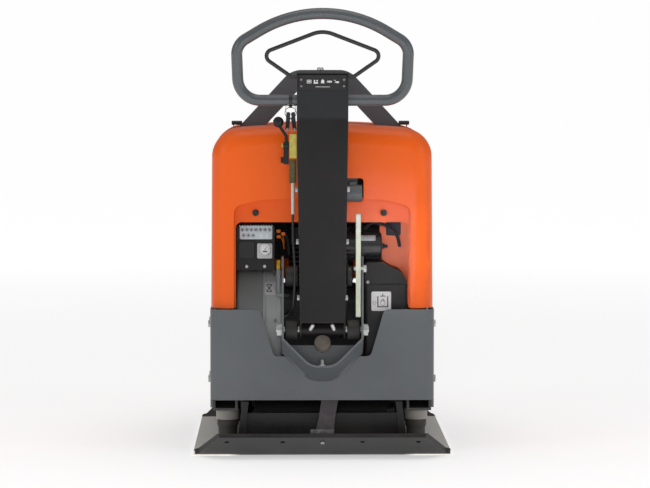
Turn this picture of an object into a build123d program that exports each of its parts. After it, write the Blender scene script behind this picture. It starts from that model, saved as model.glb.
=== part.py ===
"""A reversible plate compactor, in millimetres.

+X is to the right of the operator, who stands behind the machine and looks along +Y.
+Z is up. The origin lies on the ground, under the middle of the base plate.
"""

from build123d import *
from math import acos, atan2, cos, degrees, pi, radians, sin, sqrt, tan
import os

# Driving dimensions
PLATE_WIDTH = 650
PLATE_LENGTH = 880
FLAT_LENGTH = 700
LIP_HEIGHT = 57
PLATE_THICKNESS = 12
BODY_HALF_WIDTH = 282.5
BODY_HALF_LENGTH = 360
HOOD_BASE_HEIGHT = 371
HOOD_CROWN_HEIGHT = 834
HOOD_HALF_LENGTH = 345
HOOD_WALL = 4
HOOD_SEAM_Y = 10
DECK_BOTTOM = 160
DECK_THICKNESS = 8

# Exciter, with its two counter-turning shafts
SHAFT_SPACING = 110
SHAFT_HEIGHT = 82
EXCITER_Y = -18
REAR_SHAFT_Y = EXCITER_Y - SHAFT_SPACING / 2
FRONT_SHAFT_Y = EXCITER_Y + SHAFT_SPACING / 2
SHAFT_Y = {-1: REAR_SHAFT_Y, 1: FRONT_SHAFT_Y}
SHAFT_RADIUS = 17.45
GEAR_TEETH = 22
GEAR_MODULE = SHAFT_SPACING / GEAR_TEETH
CHAMBER_RADIUS = 62
HOUSING_RADIUS = 68
CHAMBER_HALF = 130
HOUSING_HALF = 165

# Engine and belt drive
CRANK_Y = REAR_SHAFT_Y
CRANK_Z = 316
PULLEY_X = 241
BELT_WIDTH = 10
CLUTCH_RADIUS = 55
EXCITER_PULLEY_RADIUS = 48

# Handle, drawn parked upright
PIVOT_Y = -388
PIVOT_Z = 322
YOKE_HALF_WIDTH = 102
YOKE_THICKNESS = 5
BEAM_TOP_HALF_WIDTH = 64
BEAM_FOOT_HALF_WIDTH = 56
BEAM_WALL = 3
BEAM_KNEE_Z = 852
BEAM_TOP_Z = 961
BEAM_FOOT_Z = 300
BEAM_BOLT_HEIGHTS = (674, 543, 403)
BEAM_BOLT_Y = -396
LOOP_TUBE_RADIUS = 14
LOOP_TUBE_Y = -398
LOOP_TUBE_Z = 896
CONTROL_AXIS_Y = -409
CONTROL_AXIS_Z = 955
THROTTLE_AXIS_Y = -400
THROTTLE_AXIS_Z = 784
LOCK_AXIS_Y = -416
UPPER_BUSH_Y = -384
UPPER_BUSH_Z = 455
LOCK_AXIS_Z = 477
HOOD_HINGE_Y = 352
HOOD_HINGE_Z = 380
HOOD_HINGE_X = 110
LATCH_X = 220
LATCH_AXIS_Y = 36
LATCH_BAR_Y = -14
LATCH_AXIS_Z = 834
WHEEL_KIT_HOLE = 5.5
SIDES = (-1, 1)

PARTS_FOLDER = "parts"


# ---------------------------------------------------------------- basic shapes
def block(x, y, z):
    """A box between three (low, high) pairs."""
    size = [high - low for low, high in (x, y, z)]
    middle = [(high + low) / 2 for low, high in (x, y, z)]
    return Pos(*middle) * Box(*size)


def rod_x(x, y, z, radius):
    """A round bar along X, between the pair x, on the axis through (y, z)."""
    return Pos((x[0] + x[1]) / 2, y, z) * Rot(0, 90, 0) * Cylinder(radius, x[1] - x[0])


def rod_y(x, y, z, radius):
    """A round bar along Y, between the pair y."""
    return Pos(x, (y[0] + y[1]) / 2, z) * Rot(90, 0, 0) * Cylinder(radius, y[1] - y[0])


def rod_z(x, y, z, radius):
    """A round bar along Z, between the pair z."""
    return Pos(x, y, (z[0] + z[1]) / 2) * Cylinder(radius, z[1] - z[0])


def side_view(points, x, radii=0):
    """A plate drawn as (y, z) points and as thick as the pair x."""
    outline = FilletPolyline(*points, radius=radii, close=True)
    return extrude(
        Plane(origin=(x[0], 0, 0), x_dir=(0, 1, 0), z_dir=(1, 0, 0)) * make_face(outline),
        x[1] - x[0],
    )


def front_view(points, y, radii=0):
    """A plate drawn as (x, z) points, seen from behind the machine, and as thick as the pair y."""
    outline = FilletPolyline(*points, radius=radii, close=True)
    return extrude(
        Plane(origin=(0, y[1], 0), x_dir=(1, 0, 0), z_dir=(0, -1, 0)) * make_face(outline),
        y[1] - y[0],
    )


def plan_view(points, z, radii=0):
    """A plate drawn as (x, y) points and as thick as the pair z."""
    outline = FilletPolyline(*points, radius=radii, close=True)
    return extrude(Plane.XY.offset(z[0]) * make_face(outline), z[1] - z[0])


def bent_bar(points, radii, radius):
    """A round bar along straight runs joined by tangent arcs."""
    path = FilletPolyline(*points, radius=radii)
    return sweep(Plane(origin=path @ 0, z_dir=path % 0) * Circle(radius), path=path)


def hexagon_x(x, y, z, across_flats):
    """A hexagonal nut or bolt head along X."""
    face = RegularPolygon(across_flats / sqrt(3), 6)
    return extrude(Plane(origin=(x[0], y, z), x_dir=(0, 1, 0), z_dir=(1, 0, 0)) * face, x[1] - x[0])


def mirrored_x(shape):
    return mirror(shape, about=Plane.YZ)


def both_sides(shape):
    """The shape and its mirror image, as separate solids."""
    return Compound(children=[*shape.solids(), *mirrored_x(shape).solids()])


def group(shapes):
    """Separate solids held in one node."""
    return Compound(children=[solid for shape in shapes for solid in shape.solids()])


# ---------------------------------------------------------------- base plate and exciter
LIP_RUN = (PLATE_LENGTH - FLAT_LENGTH) / 2
LIP_ANGLE = degrees(atan2(LIP_HEIGHT, LIP_RUN))
LIP_HOLES_X = (-240, -100, 0, 100, 240)


def base_plate():
    half, fold = PLATE_LENGTH / 2, FLAT_LENGTH / 2
    rise = PLATE_THICKNESS / cos(radians(LIP_ANGLE))
    inner_fold = fold - PLATE_THICKNESS * tan(radians(LIP_ANGLE / 2))
    tip_in = PLATE_THICKNESS * sin(radians(LIP_ANGLE))
    tip_up = PLATE_THICKNESS * cos(radians(LIP_ANGLE))
    profile = [
        (-fold, 0), (fold, 0), (half, LIP_HEIGHT), (half - tip_in, LIP_HEIGHT + tip_up),
        (inner_fold, PLATE_THICKNESS), (-inner_fold, PLATE_THICKNESS),
        (-half + tip_in, LIP_HEIGHT + tip_up), (-half, LIP_HEIGHT),
    ]
    sheet = side_view(profile, (-PLATE_WIDTH / 2, PLATE_WIDTH / 2), [40, 40, 4, 4, 28, 28, 4, 4])
    wide, flare, tip = PLATE_WIDTH / 2, 304, 256
    corner, start = fold + 6, fold + 10
    quarter = [(wide, corner), (flare + 8, start), (tip, half + 1)]
    plan = [(wide, -corner), *quarter]
    plan += [(-x, y) for x, y in reversed(quarter)] + [(-wide, -corner)]
    plan += [(-x, -y) for x, y in quarter[1:]] + [(x, -y) for x, y in reversed(quarter[1:])]
    sheet &= plan_view(plan, (-1, LIP_HEIGHT + 30), [8, 14, 12, 12, 14, 8, 8, 14, 12, 12, 14, 8])
    for end in SIDES:
        slope = Plane(
            origin=(0, end * (half - 0.26 * LIP_RUN), 0.74 * LIP_HEIGHT),
            x_dir=(1, 0, 0),
            z_dir=(0, end * sin(radians(LIP_ANGLE)), -cos(radians(LIP_ANGLE))),
        )
        for x in LIP_HOLES_X:
            sheet -= slope * Pos(x, 0, 0) * Cylinder(6, 5 * rise)
    return sheet


def base_ribs():
    """Leaning corner ribs, cross ribs and the mounts' turned feet, all welded on the plate."""
    foot = chamfer(
        Cylinder(
            31, RUBBER_BOTTOM - PLATE_THICKNESS,
        ).edges().filter_by(GeomType.CIRCLE).group_by(Axis.Z)[-1],
        3,
    )
    foot = Pos(MOUNT_X, -MOUNT_Y, (RUBBER_BOTTOM + PLATE_THICKNESS) / 2) * foot
    leaning = front_view(
        [(200, PLATE_THICKNESS), (218, PLATE_THICKNESS), (202, 134), (186, 134)], (-333, -160),
    )
    leaning -= rod_z(MOUNT_X, -MOUNT_Y, (0, 200), 34)
    cross = block((-199, 199), (-322, -312), (PLATE_THICKNESS, 104))
    ribs = leaning + mirrored_x(leaning) + cross
    corner = both_sides(foot)
    return group([ribs, mirror(ribs, about=Plane.XZ), corner, mirror(corner, about=Plane.XZ)])


def exciter_lobe(radius, x):
    """Two round lobes, one round each shaft, joined across."""
    web = block(x, (REAR_SHAFT_Y, FRONT_SHAFT_Y), (SHAFT_HEIGHT - radius, SHAFT_HEIGHT + radius))
    return web + rod_x(x, REAR_SHAFT_Y, SHAFT_HEIGHT, radius) + rod_x(
        x, FRONT_SHAFT_Y, SHAFT_HEIGHT, radius,
    )


BEARING_OUTER = 36
BEARING_LENGTH = 18


def exciter_housing():
    body = exciter_lobe(HOUSING_RADIUS, (-HOUSING_HALF, HOUSING_HALF))
    body += block((-150, 150), (EXCITER_Y - 140, EXCITER_Y + 140), (PLATE_THICKNESS, 34))
    body -= exciter_lobe(CHAMBER_RADIUS, (-CHAMBER_HALF, CHAMBER_HALF))
    for y in SHAFT_Y.values():
        body -= rod_x((-HOUSING_HALF - 1, HOUSING_HALF + 1), y, SHAFT_HEIGHT, BEARING_OUTER)
    return body


def exciter_covers():
    """Round end covers over the four bearings. One has a hole for the driven shaft."""
    covers = []
    for end in SIDES:
        x = sorted((end * HOUSING_HALF, end * (HOUSING_HALF + 9)))
        for side in SIDES:
            y = SHAFT_Y[side]
            cover = rod_x(x, y, SHAFT_HEIGHT, 50)
            if end == 1 and side == -1:
                cover -= rod_x((x[0] - 1, x[1] + 1), y, SHAFT_HEIGHT, SHAFT_RADIUS + 1)
            bolts = [
                hexagon_x(
                    sorted((end * (HOUSING_HALF + 9), end * (HOUSING_HALF + 15))),
                    y + 41 * cos(radians(angle)), SHAFT_HEIGHT + 41 * sin(radians(angle)), 11,
                )
                for angle in range(30, 390, 60)
            ]
            covers += [cover, *bolts]
    return group(covers)


def exciter_bearings():
    rings = []
    for end in SIDES:
        x = sorted((end * (HOUSING_HALF - 6 - BEARING_LENGTH), end * (HOUSING_HALF - 6)))
        for y in SHAFT_Y.values():
            ring = rod_x(x, y, SHAFT_HEIGHT, BEARING_OUTER)
            rings.append(ring - rod_x((x[0] - 1, x[1] + 1), y, SHAFT_HEIGHT, SHAFT_RADIUS + 0.05))
    return group(rings)


def gear(side):
    """A spur gear with involute flanks and a little backlash."""
    pitch_radius = SHAFT_SPACING / 2
    pressure = radians(20)
    base_radius = pitch_radius * cos(pressure)
    tooth_half = pi / (2 * GEAR_TEETH) - 0.35 / pitch_radius

    def involute(angle):
        return tan(angle) - angle

    flank = []
    for radius in (
        base_radius, base_radius + 2, pitch_radius, pitch_radius + 0.45 * GEAR_MODULE,
        pitch_radius + 0.9 * GEAR_MODULE,
    ):
        roll = acos(min(1, base_radius / radius))
        flank.append((radius, tooth_half + involute(pressure) - involute(roll)))
    root = (pitch_radius - 1.2 * GEAR_MODULE, flank[0][1])
    tooth = [root, *flank]
    tooth = [(r, -a) for r, a in tooth] + [(r, a) for r, a in reversed(tooth)]
    pitch = 2 * pi / GEAR_TEETH
    offset = 0 if side < 0 else pitch / 2
    points = []
    for number in range(GEAR_TEETH):
        middle = number * pitch + offset
        points += [(r * cos(middle + a), r * sin(middle + a)) for r, a in tooth]
    blank = Plane(origin=(92, SHAFT_Y[side], SHAFT_HEIGHT), x_dir=(0, 1, 0), z_dir=(1, 0, 0))
    wheel = extrude(blank * make_face(Polyline(*points, close=True)), 28)
    return wheel - rod_x((90, 122), SHAFT_Y[side], SHAFT_HEIGHT, SHAFT_RADIUS)


def exciter_shaft(side):
    """A shaft with its eccentric weight, a heavy half disc that hangs down at rest."""
    reach = PULLEY_X + 24 if side < 0 else HOUSING_HALF - 2
    y = SHAFT_Y[side]
    x = (-112, 72)
    weight = rod_x(x, y, SHAFT_HEIGHT, 46) - block(
        (x[0] - 1, x[1] + 1), (y - 60, y + 60), (SHAFT_HEIGHT + 14, 200),
    )
    shaft = rod_x(
        (-HOUSING_HALF + 2, reach), y, SHAFT_HEIGHT, SHAFT_RADIUS,
    ) + weight + rod_x(x, y, SHAFT_HEIGHT, 26)
    if side < 0:
        shaft += hexagon_x((PULLEY_X + 14, PULLEY_X + 22), y, SHAFT_HEIGHT, 41)
    return shaft


def grooved_pulley(z, radius, bore, hub):
    """A V-belt pulley turned from one blank, with a hub towards the machine's middle."""
    x = PULLEY_X
    profile = [
        (x - 13, bore), (x + 13, bore), (x + 13, radius), (x + 8.5, radius), (x + 5.5, radius - 12),
        (x - 5.5, radius - 12), (x - 8.5, radius), (x - 13, radius),
    ]
    section = make_face(Polyline(*[(px, 0, r) for px, r in profile], close=True))
    wheel = Pos(0, CRANK_Y, z) * revolve(section, Axis.X)
    boss = rod_x((x - 13 - hub, x - 13), CRANK_Y, z, bore + 10) - rod_x((x - 60, x), CRANK_Y, z, bore)
    return wheel + boss


def drive_belt():
    """A V-belt stretched over the clutch pulley and the exciter pulley."""
    x = (PULLEY_X - BELT_WIDTH / 2, PULLEY_X + BELT_WIDTH / 2)

    def loop(shift):
        upper = Pos(0, CRANK_Z) * Circle(CLUTCH_RADIUS + shift)
        lower = Pos(0, SHAFT_HEIGHT) * Circle(EXCITER_PULLEY_RADIUS + shift)
        return make_hull([*upper.edges(), *lower.edges()])

    plane = Plane(origin=(x[0], CRANK_Y, 0), x_dir=(0, 1, 0), z_dir=(1, 0, 0))
    return extrude(plane * (loop(0) - loop(-8.5)), x[1] - x[0])


MOUNT_X, MOUNT_Y = 240, 272
RUBBER_BOTTOM, RUBBER_TOP, CUP_TOP = 20, 84, 112


def at_mounts(shape):
    return group([Pos(x * MOUNT_X, y * MOUNT_Y, 0) * shape for x in SIDES for y in SIDES])


def rubber_mounts():
    """Shear mounts with a waist, one under each corner of the frame."""
    half = [
        (0, RUBBER_BOTTOM), (27, RUBBER_BOTTOM), (27, 34), (24, 42), (24, 62), (27, 70),
        (27, RUBBER_TOP), (0, RUBBER_TOP),
    ]
    outline = make_face(
        FilletPolyline(*[(x, 0, z) for x, z in half], radius=[0, 4, 8, 8, 8, 4, 0, 0], close=True)
    )
    return at_mounts(revolve(outline, Axis.Z))


def mount_cups():
    """Flared steel cups that carry the rails on the rubbers."""
    half = [(0, RUBBER_TOP), (28, RUBBER_TOP), (29.5, 92), (29.5, CUP_TOP), (0, CUP_TOP)]
    return at_mounts(revolve(make_face(Polyline(*[(x, 0, z) for x, z in half], close=True)), Axis.Z))


# ---------------------------------------------------------------- frame
RAIL_OUTER = 276
BELT_WINDOW = ((205, 268), (CRANK_Y - 58, CRANK_Y + 58))


def deck_plate():
    deck = plan_view(
        [(-270, -340), (270, -340), (270, 340), (-270, 340)],
        (DECK_BOTTOM, DECK_BOTTOM + DECK_THICKNESS), 12,
    )
    return deck - block(*BELT_WINDOW, (100, 200))


def side_rails():
    """Folded channels under the deck, with the mounts' cups. The right one has a window for the belt."""
    rails = [mount_cups()]
    for side in SIDES:
        section = [
            (214, 112), (RAIL_OUTER, 112), (RAIL_OUTER, 160), (270, 160), (270, 118), (220, 118),
            (220, 160), (214, 160),
        ]
        rail = front_view([(side * x, z) for x, z in section], (-335, 335))
        if side > 0:
            rail -= block(*BELT_WINDOW, (100, 170))
        rails.append(rail)
    return group(rails)


BUMPER_SKIRT_BOTTOM = 120


def bumper(with_notch):
    """A folded steel bumper, U-shaped in plan, drawn for the rear end."""
    outer, inner = BODY_HALF_WIDTH, BODY_HALF_WIDTH - 6
    face, back = -BODY_HALF_LENGTH, -150
    low, high = 141, HOOD_BASE_HEIGHT - 1
    plan = [
        (-outer, back), (-outer, face), (outer, face), (outer, back),
        (inner, back), (inner, face + 6), (-inner, face + 6), (-inner, back),
    ]
    shell = plan_view(plan, (low, high), [0, 22, 22, 0, 0, 16, 16, 0])
    skirt = block((inner, outer), (face + 24, back), (BUMPER_SKIRT_BOTTOM, low + 1))
    shell += skirt + mirrored_x(skirt)
    if with_notch:
        side = [(-122, 252), (-156, high), (-200, high), (-200, high + 30)]
        notch = [*side, *[(-x, z) for x, z in reversed(side)]]
        shell -= front_view(notch, (face - 2, face + 20), [14, 16, 0, 0, 0, 0, 16, 14])
    return shell


def front_bumper():
    """The front bumper, with four tapped-through holes for a transport wheel kit."""
    shell = mirror(bumper(False), about=Plane.XZ)
    for x in SIDES:
        for z in (205, 305):
            shell -= rod_y(x * 110, (BODY_HALF_LENGTH - 20, BODY_HALF_LENGTH + 5), z, WHEEL_KIT_HOLE)
        edge, tip = HOOD_HINGE_X - 8, HOOD_HINGE_X + 16
        shell += block(
            sorted((x * edge, x * (edge - 8))), (HOOD_HINGE_Y - 5, BODY_HALF_LENGTH - 2),
            (350, HOOD_HINGE_Z + 6),
        )
        shell += rod_x(sorted((x * (edge - 1), x * tip)), HOOD_HINGE_Y, HOOD_HINGE_Z, 4)
    return shell


def side_guards():
    """Louvred sheets that close the sides between the two bumpers."""
    guard = block((270, 275), (-147, 147), (DECK_BOTTOM + 1, HOOD_BASE_HEIGHT - 1))
    for row in range(6):
        z = 200 + row * 26
        guard -= block((260, 290), (-105, 105), (z, z + 11))
    return both_sides(guard)


BOW_LEG_X, BOW_WIDTH, BOW_THICKNESS = 243, 45, 12
BOW_TOP = 974
LIFTING_HOLE = 22


def bow_outline(grow):
    """The lifting bow seen from behind: upright legs, sloping shoulders and a round crown."""
    outer, inner = BOW_LEG_X + BOW_WIDTH / 2 + grow, BOW_LEG_X - BOW_WIDTH / 2 - grow
    foot, crown = 170 - grow, BOW_TOP + grow
    shoulder_out, shoulder_in = 770 + 0.4 * grow, 747 - 0.4 * grow
    knee, inner_knee, inner_crown = 76, 55, crown - 50 - 2 * grow
    outside = [
        (-outer, foot), (-outer, shoulder_out), (-knee, crown), (knee, crown), (outer, shoulder_out),
        (outer, foot),
    ]
    inside = [(inner, foot), (inner, shoulder_in), (inner_knee, inner_crown)]
    inside += [(-x, z) for x, z in reversed(inside)]
    return [*outside, *inside], [2, 60, 60, 60, 60, 2, 2, 30, 22, 22, 30, 2]


def lifting_bow():
    points, radii = bow_outline(0)
    half = BOW_THICKNESS / 2
    bow = front_view(points, (-half, half), radii)
    bow += front_view([(-34, 890), (34, 890), (46, 930), (-46, 930)], (-half, half), 6)
    bow -= rod_y(0, (-20, 20), 930, LIFTING_HOLE)
    feet = block((221, 265), (-9, 34), (DECK_BOTTOM + DECK_THICKNESS, DECK_BOTTOM + DECK_THICKNESS + 10))
    return bow + feet + mirrored_x(feet)


def lifting_bow_cap():
    """A bright dome nut on the crown of the bow."""
    return fillet(
        rod_z(0, 0, (BOW_TOP, BOW_TOP + 7), 9).edges().filter_by(GeomType.CIRCLE).group_by(Axis.Z)[-1],
        5,
    )


YOKE_TILT = radians(33)
YOKE_LIP_Y = -424


def handle_yoke():
    """The bracket that carries the handle: two cheeks on a scoop-shaped sheet welded to the bumper."""
    half, wall = YOKE_HALF_WIDTH, YOKE_THICKNESS
    bend, low = 301, 230
    knee = half - (bend - low)
    inner_knee, inner_bend = knee - wall * tan(pi / 8), bend + wall * (sqrt(2) - 1)
    outside = [(-half, bend), (-knee, low), (knee, low), (half, bend)]
    inside = [
        (half - wall, inner_bend), (inner_knee, low + wall), (-inner_knee, low + wall),
        (-half + wall, inner_bend),
    ]
    outline = FilletPolyline(*outside, *inside, radius=[0, 51, 51, 0, 0, 46, 46, 0], close=True)
    plane = Plane(origin=(0, YOKE_LIP_Y, 0), x_dir=(1, 0, 0), z_dir=(0, -1, 0))
    reach = -BODY_HALF_LENGTH - 0.5 - YOKE_LIP_Y
    way = Vector(0, reach, -reach * tan(YOKE_TILT))
    scoop = extrude(plane * make_face(outline), amount=way.length, dir=way)
    cheek = side_view(
        [
            (YOKE_LIP_Y, bend - 2), (YOKE_LIP_Y, 460), (-412, 507), (-365, 507), (-361, 470),
            (-361, bend - 38),
        ],
        (half - wall, half), [0, 20, 14, 10, 10, 0],
    )
    cheek -= rod_x((half - 20, half + 20), PIVOT_Y, PIVOT_Z, 10.1)
    cheek -= rod_x((half - 20, half + 20), LOCK_AXIS_Y, LOCK_AXIS_Z, 5.05)
    web = front_view([(-97, 281), (-97, 262), (-50, 206), (50, 206), (97, 262), (97, 281)], (-372, -366), 4)
    return scoop + cheek + mirrored_x(cheek) + web


def pivot_shaft():
    """The shaft that the handle folds on, with a nut at each end."""
    end = YOKE_HALF_WIDTH
    shaft = rod_x((-end - 14, end + 14), PIVOT_Y, PIVOT_Z, 10)
    nut = hexagon_x((end + 2, end + 12), PIVOT_Y, PIVOT_Z, 28)
    washer = rod_x((end, end + 2), PIVOT_Y, PIVOT_Z, 18)
    return shaft + nut + washer + mirrored_x(nut + washer)


def stop_buffer():
    """The rubber buffer that the lowered handle comes to rest on."""
    half = [(0, 0), (9, 0), (13, 8), (20.5, 22), (20.5, 38), (0, 38)]
    outline = make_face(
        FilletPolyline(*[(x, 0, z) for x, z in half], radius=[0, 2, 4, 5, 3, 0], close=True)
    )
    return BUFFER_SEAT * revolve(outline, Axis.Z)


BUFFER_SEAT = Pos(0, -382, 271) * Rot(52, 0, 0)


def buffer_screw():
    """The screw in front of the rubber buffer, on the floor of the yoke."""
    return Pos(0, -410, 226.6) * Rot(-33, 0, 0) * (rod_z(0, 0, (0.3, 4), 13) + rod_z(0, 0, (4, 22), 6))


def latch_bar():
    """A round bar in the hood's rear slot, which the parked handle leans on."""
    bar = rod_x((-50, 100), -343, 662, 21.5) - rod_x((94, 101), -343, 662, 17)
    stem = block((-40, -24), (-343, -298), (672, 690))
    other = block((70, 86), (-343, -298), (672, 690))
    return bar + stem + other + block((-44, 90), (-304, -294), (660, 720))


# ---------------------------------------------------------------- hood
def hood_form(inset, y_rear, y_front, grow=0):
    """The hood's solid form: straight sides, a crowned top and round shoulders. The rear end is rounded."""
    foot, top = BODY_HALF_WIDTH - 1.5 - inset + grow, BODY_HALF_WIDTH - 5 - inset + grow
    low, shoulder, crown = HOOD_BASE_HEIGHT, HOOD_CROWN_HEIGHT - 16 - inset + grow, HOOD_CROWN_HEIGHT - inset + grow
    outline = [
        Line((-foot, low), (-top, shoulder)),
        ThreePointArc((-top, shoulder), (0, crown), (top, shoulder)),
        Line((top, shoulder), (foot, low)),
        Line((foot, low), (-foot, low)),
    ]
    face = make_face(outline)
    face = fillet(face.vertices().group_by(Axis.Y)[-1], 72 - inset)
    form = extrude(
        Plane(origin=(0, y_front, 0), x_dir=(1, 0, 0), z_dir=(0, -1, 0)) * face, y_front - y_rear,
    )
    rim = [e for e in form.faces().sort_by(Axis.Y)[0].edges() if e.center().Z > low + 1]
    return fillet(rim, 46 - inset)


def hood_shell(y_rear, y_front, grow=0):
    below = block((-400, 400), (-500, 500), (0, HOOD_BASE_HEIGHT + 0.5))
    inner = hood_form(HOOD_WALL, y_rear + HOOD_WALL, y_front + 5, grow)
    return hood_form(0, y_rear, y_front, grow) - inner - below


BAY_HALF_WIDTH = 222
BAY_TOP = 646
BAY_INNER_TOP = 588


def bay_outline(grow, top):
    """The rear service opening: upright sides and a slightly arched top."""
    half = BAY_HALF_WIDTH + grow
    return [
        (-half, 300), (-half, top - 16), (-half + 75, top), (half - 75, top), (half, top - 16),
        (half, 300),
    ]


def rear_hood():
    """The fixed rear half, with the service bay, the latch slot and slots for the lifting bow."""
    rear = -HOOD_HALF_LENGTH
    shell = hood_shell(rear, HOOD_SEAM_Y)
    radii = [0, 26, 90, 90, 26, 0]
    tray = front_view(bay_outline(HOOD_WALL, BAY_TOP + HOOD_WALL), (rear + 2, rear + 32), radii)
    tray = tray & block((-400, 400), (-400, -300), (HOOD_BASE_HEIGHT + 0.5, 900))
    shell += tray
    shell -= front_view(bay_outline(0, BAY_TOP), (rear - 5, rear + 28), radii)
    lower = BAY_HALF_WIDTH - 4
    inner = [(-lower, 300), (-lower, BAY_INNER_TOP), (lower, BAY_INNER_TOP), (lower, 300)]
    shell -= front_view(inner, (rear - 5, rear + 40), [0, 15, 15, 0])
    shell -= front_view(
        [(-55, 634), (104, 634), (104, 700), (-55, 700)], (rear - 5, rear + 26), [0, 9, 9, 0],
    )
    pocket = block((150, 300), (-196, -193), (HOOD_BASE_HEIGHT + 0.5, 640))
    shell += pocket & hood_form(2, rear, HOOD_SEAM_Y)
    points, radii = bow_outline(3)
    shell -= front_view(points, (-BOW_THICKNESS / 2 - 3, BOW_THICKNESS / 2 + 3), radii) & block(
        (-262, 262), (-20, HOOD_SEAM_Y - 0.5), (780, 900)
    )
    return shell


def front_hood():
    """The opening front half, with a grille in its nose and louvres in its sides."""
    shell = mirror(hood_shell(-HOOD_HALF_LENGTH, -HOOD_SEAM_Y - 3, grow=2), about=Plane.XZ)
    for row in range(7):
        z = 470 + row * 34
        shell -= front_view(
            [(-170, z), (170, z), (170, z + 16), (-170, z + 16)],
            (HOOD_HALF_LENGTH - 20, HOOD_HALF_LENGTH + 5), 7.5,
        )
    slot = side_view([(110, 0), (250, 0), (250, 12), (110, 12)], (-400, 400), 5.5)
    for row in range(5):
        shell -= Pos(0, 0, 450 + row * 26) * slot
    for x in SIDES:
        knuckle = side_view(
            [(342, 374), (358, 374), (358, 386), (350, 394), (342, 394)],
            sorted((x * HOOD_HINGE_X, x * (HOOD_HINGE_X + 10))), [0, 5, 5, 4, 0],
        )
        shell += knuckle - rod_x((-300, 300), HOOD_HINGE_Y, HOOD_HINGE_Z, 4.05)
        lug = HOOD_HINGE_X - 12
        shell -= block(sorted((x * (lug - 6.5), x * (lug + 5.5))), (335, 352), (360, HOOD_HINGE_Z + 18))
        for post in (-11, 8):
            left = x * LATCH_X + post
            shell += block((left, left + 3), (LATCH_AXIS_Y - 5, LATCH_AXIS_Y + 5), (815, LATCH_AXIS_Z + 4))
        shell += rod_x((x * LATCH_X - 10, x * LATCH_X + 10), LATCH_AXIS_Y, LATCH_AXIS_Z, 2.5)
    return shell


def hood_latch(side):
    """A rubber T-handle that pulls the two hood halves together."""
    x = side * LATCH_X
    bar = fillet(rod_x((x - 14, x + 14), LATCH_BAR_Y, 835, 5.5).edges().filter_by(GeomType.CIRCLE), 2)
    strap = block(
        (x - 7, x + 7), (LATCH_BAR_Y, LATCH_AXIS_Y), (829.5, 835),
    ) + rod_x((x - 7, x + 7), LATCH_AXIS_Y, LATCH_AXIS_Z, 5)
    return bar + strap - rod_x((x - 10, x + 10), LATCH_AXIS_Y, LATCH_AXIS_Z, 2.55)


# ---------------------------------------------------------------- engine bay
def engine_block():
    """The crankcase, hollow for the crank, with its feet on the deck."""
    y = (CRANK_Y - 105, CRANK_Y + 115)
    case = block((-96, 96), y, (196, 408))
    case = fillet(case.edges().filter_by(Axis.X), 34)
    for side in SIDES:
        case += block(
            (side * 70 - 22, side * 70 + 22), (y[0] - 12, y[1] + 12),
            (DECK_BOTTOM + DECK_THICKNESS, 214),
        )
    case -= rod_x((-70, 70), CRANK_Y, CRANK_Z, 78)
    case -= rod_x((-120, 120), CRANK_Y, CRANK_Z, 20.1)
    sump = block((-84, 84), (y[0] + 18, y[1] - 18), (178, 200))
    bracket = block((52, 66), (-232, y[0] + 2), (350, 500))
    return case + sump + bracket + dipstick_tube()


def engine_cylinder():
    """The finned barrel, its head and the rocker cover."""
    y = CRANK_Y + 5
    barrel = rod_z(0, y, (408, 520), 58)
    for number in range(9):
        z = 416 + number * 12
        fin = plan_view([(-84, y - 80), (84, y - 80), (84, y + 80), (-84, y + 80)], (z, z + 3.5), 18)
        barrel += fin
    head = fillet(block((-78, 78), (y - 74, y + 74), (520, 566)).edges().filter_by(Axis.Z), 14)
    cover = fillet(block((-58, 58), (y - 60, y + 60), (566, 600)).edges().filter_by(Axis.Z), 20)
    return barrel + head + cover


def fan_shroud():
    """The drum round the flywheel fan, with its air intake on the left."""
    y, z, radius = CRANK_Y, CRANK_Z, 146
    drum = rod_x((-219, -150), y, z, radius)
    drum = fillet(drum.edges().filter_by(GeomType.CIRCLE), 7)
    neck = fillet(rod_x((-149.5, -102), y, z, radius - 2).edges().filter_by(GeomType.CIRCLE), 12)
    drum -= rod_x((-214, -150), y, z, radius - 5)
    neck -= rod_x((-160, -110), y, z, radius - 8)
    neck -= rod_x((-120, -90), y, z, 40)
    shroud = drum + neck + rod_x((-152, -146), y, z, radius - 3) - rod_x((-160, -112), y, z, radius - 22)
    for ring in range(3):
        for step in range(10 + 6 * ring):
            angle = step * 2 * pi / (10 + 6 * ring)
            reach = 34 + 26 * ring
            shroud -= rod_x((-230, -205), y + reach * cos(angle), z + reach * sin(angle), 7)
    return shroud


def flywheel():
    wheel = rod_x((-204, -172), CRANK_Y, CRANK_Z, 122) - rod_x((-210, -165), CRANK_Y, CRANK_Z, 20)
    for step in range(16):
        angle = step * 22.5
        blade = block((-210, -203), (CRANK_Y - 1.5, CRANK_Y + 1.5), (CRANK_Z + 60, CRANK_Z + 118))
        wheel += Pos(0, CRANK_Y, CRANK_Z) * Rot(angle, 0, 0) * Pos(0, -CRANK_Y, -CRANK_Z) * blade
    return wheel


def crankshaft():
    """The crank with its throw and counterweights, turning inside the block."""
    shaft = rod_x((-200, -44), CRANK_Y, CRANK_Z, 20) + rod_x((44, PULLEY_X + 16), CRANK_Y, CRANK_Z, 20)
    for side in SIDES:
        web = block(
            sorted((side * 22, side * 44)), (CRANK_Y - 26, CRANK_Y + 26),
            (CRANK_Z - 60, CRANK_Z + 54),
        )
        shaft += fillet(web.edges().filter_by(Axis.X), 14)
    return shaft + rod_x((-24, 24), CRANK_Y, CRANK_Z + 34, 17)


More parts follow.
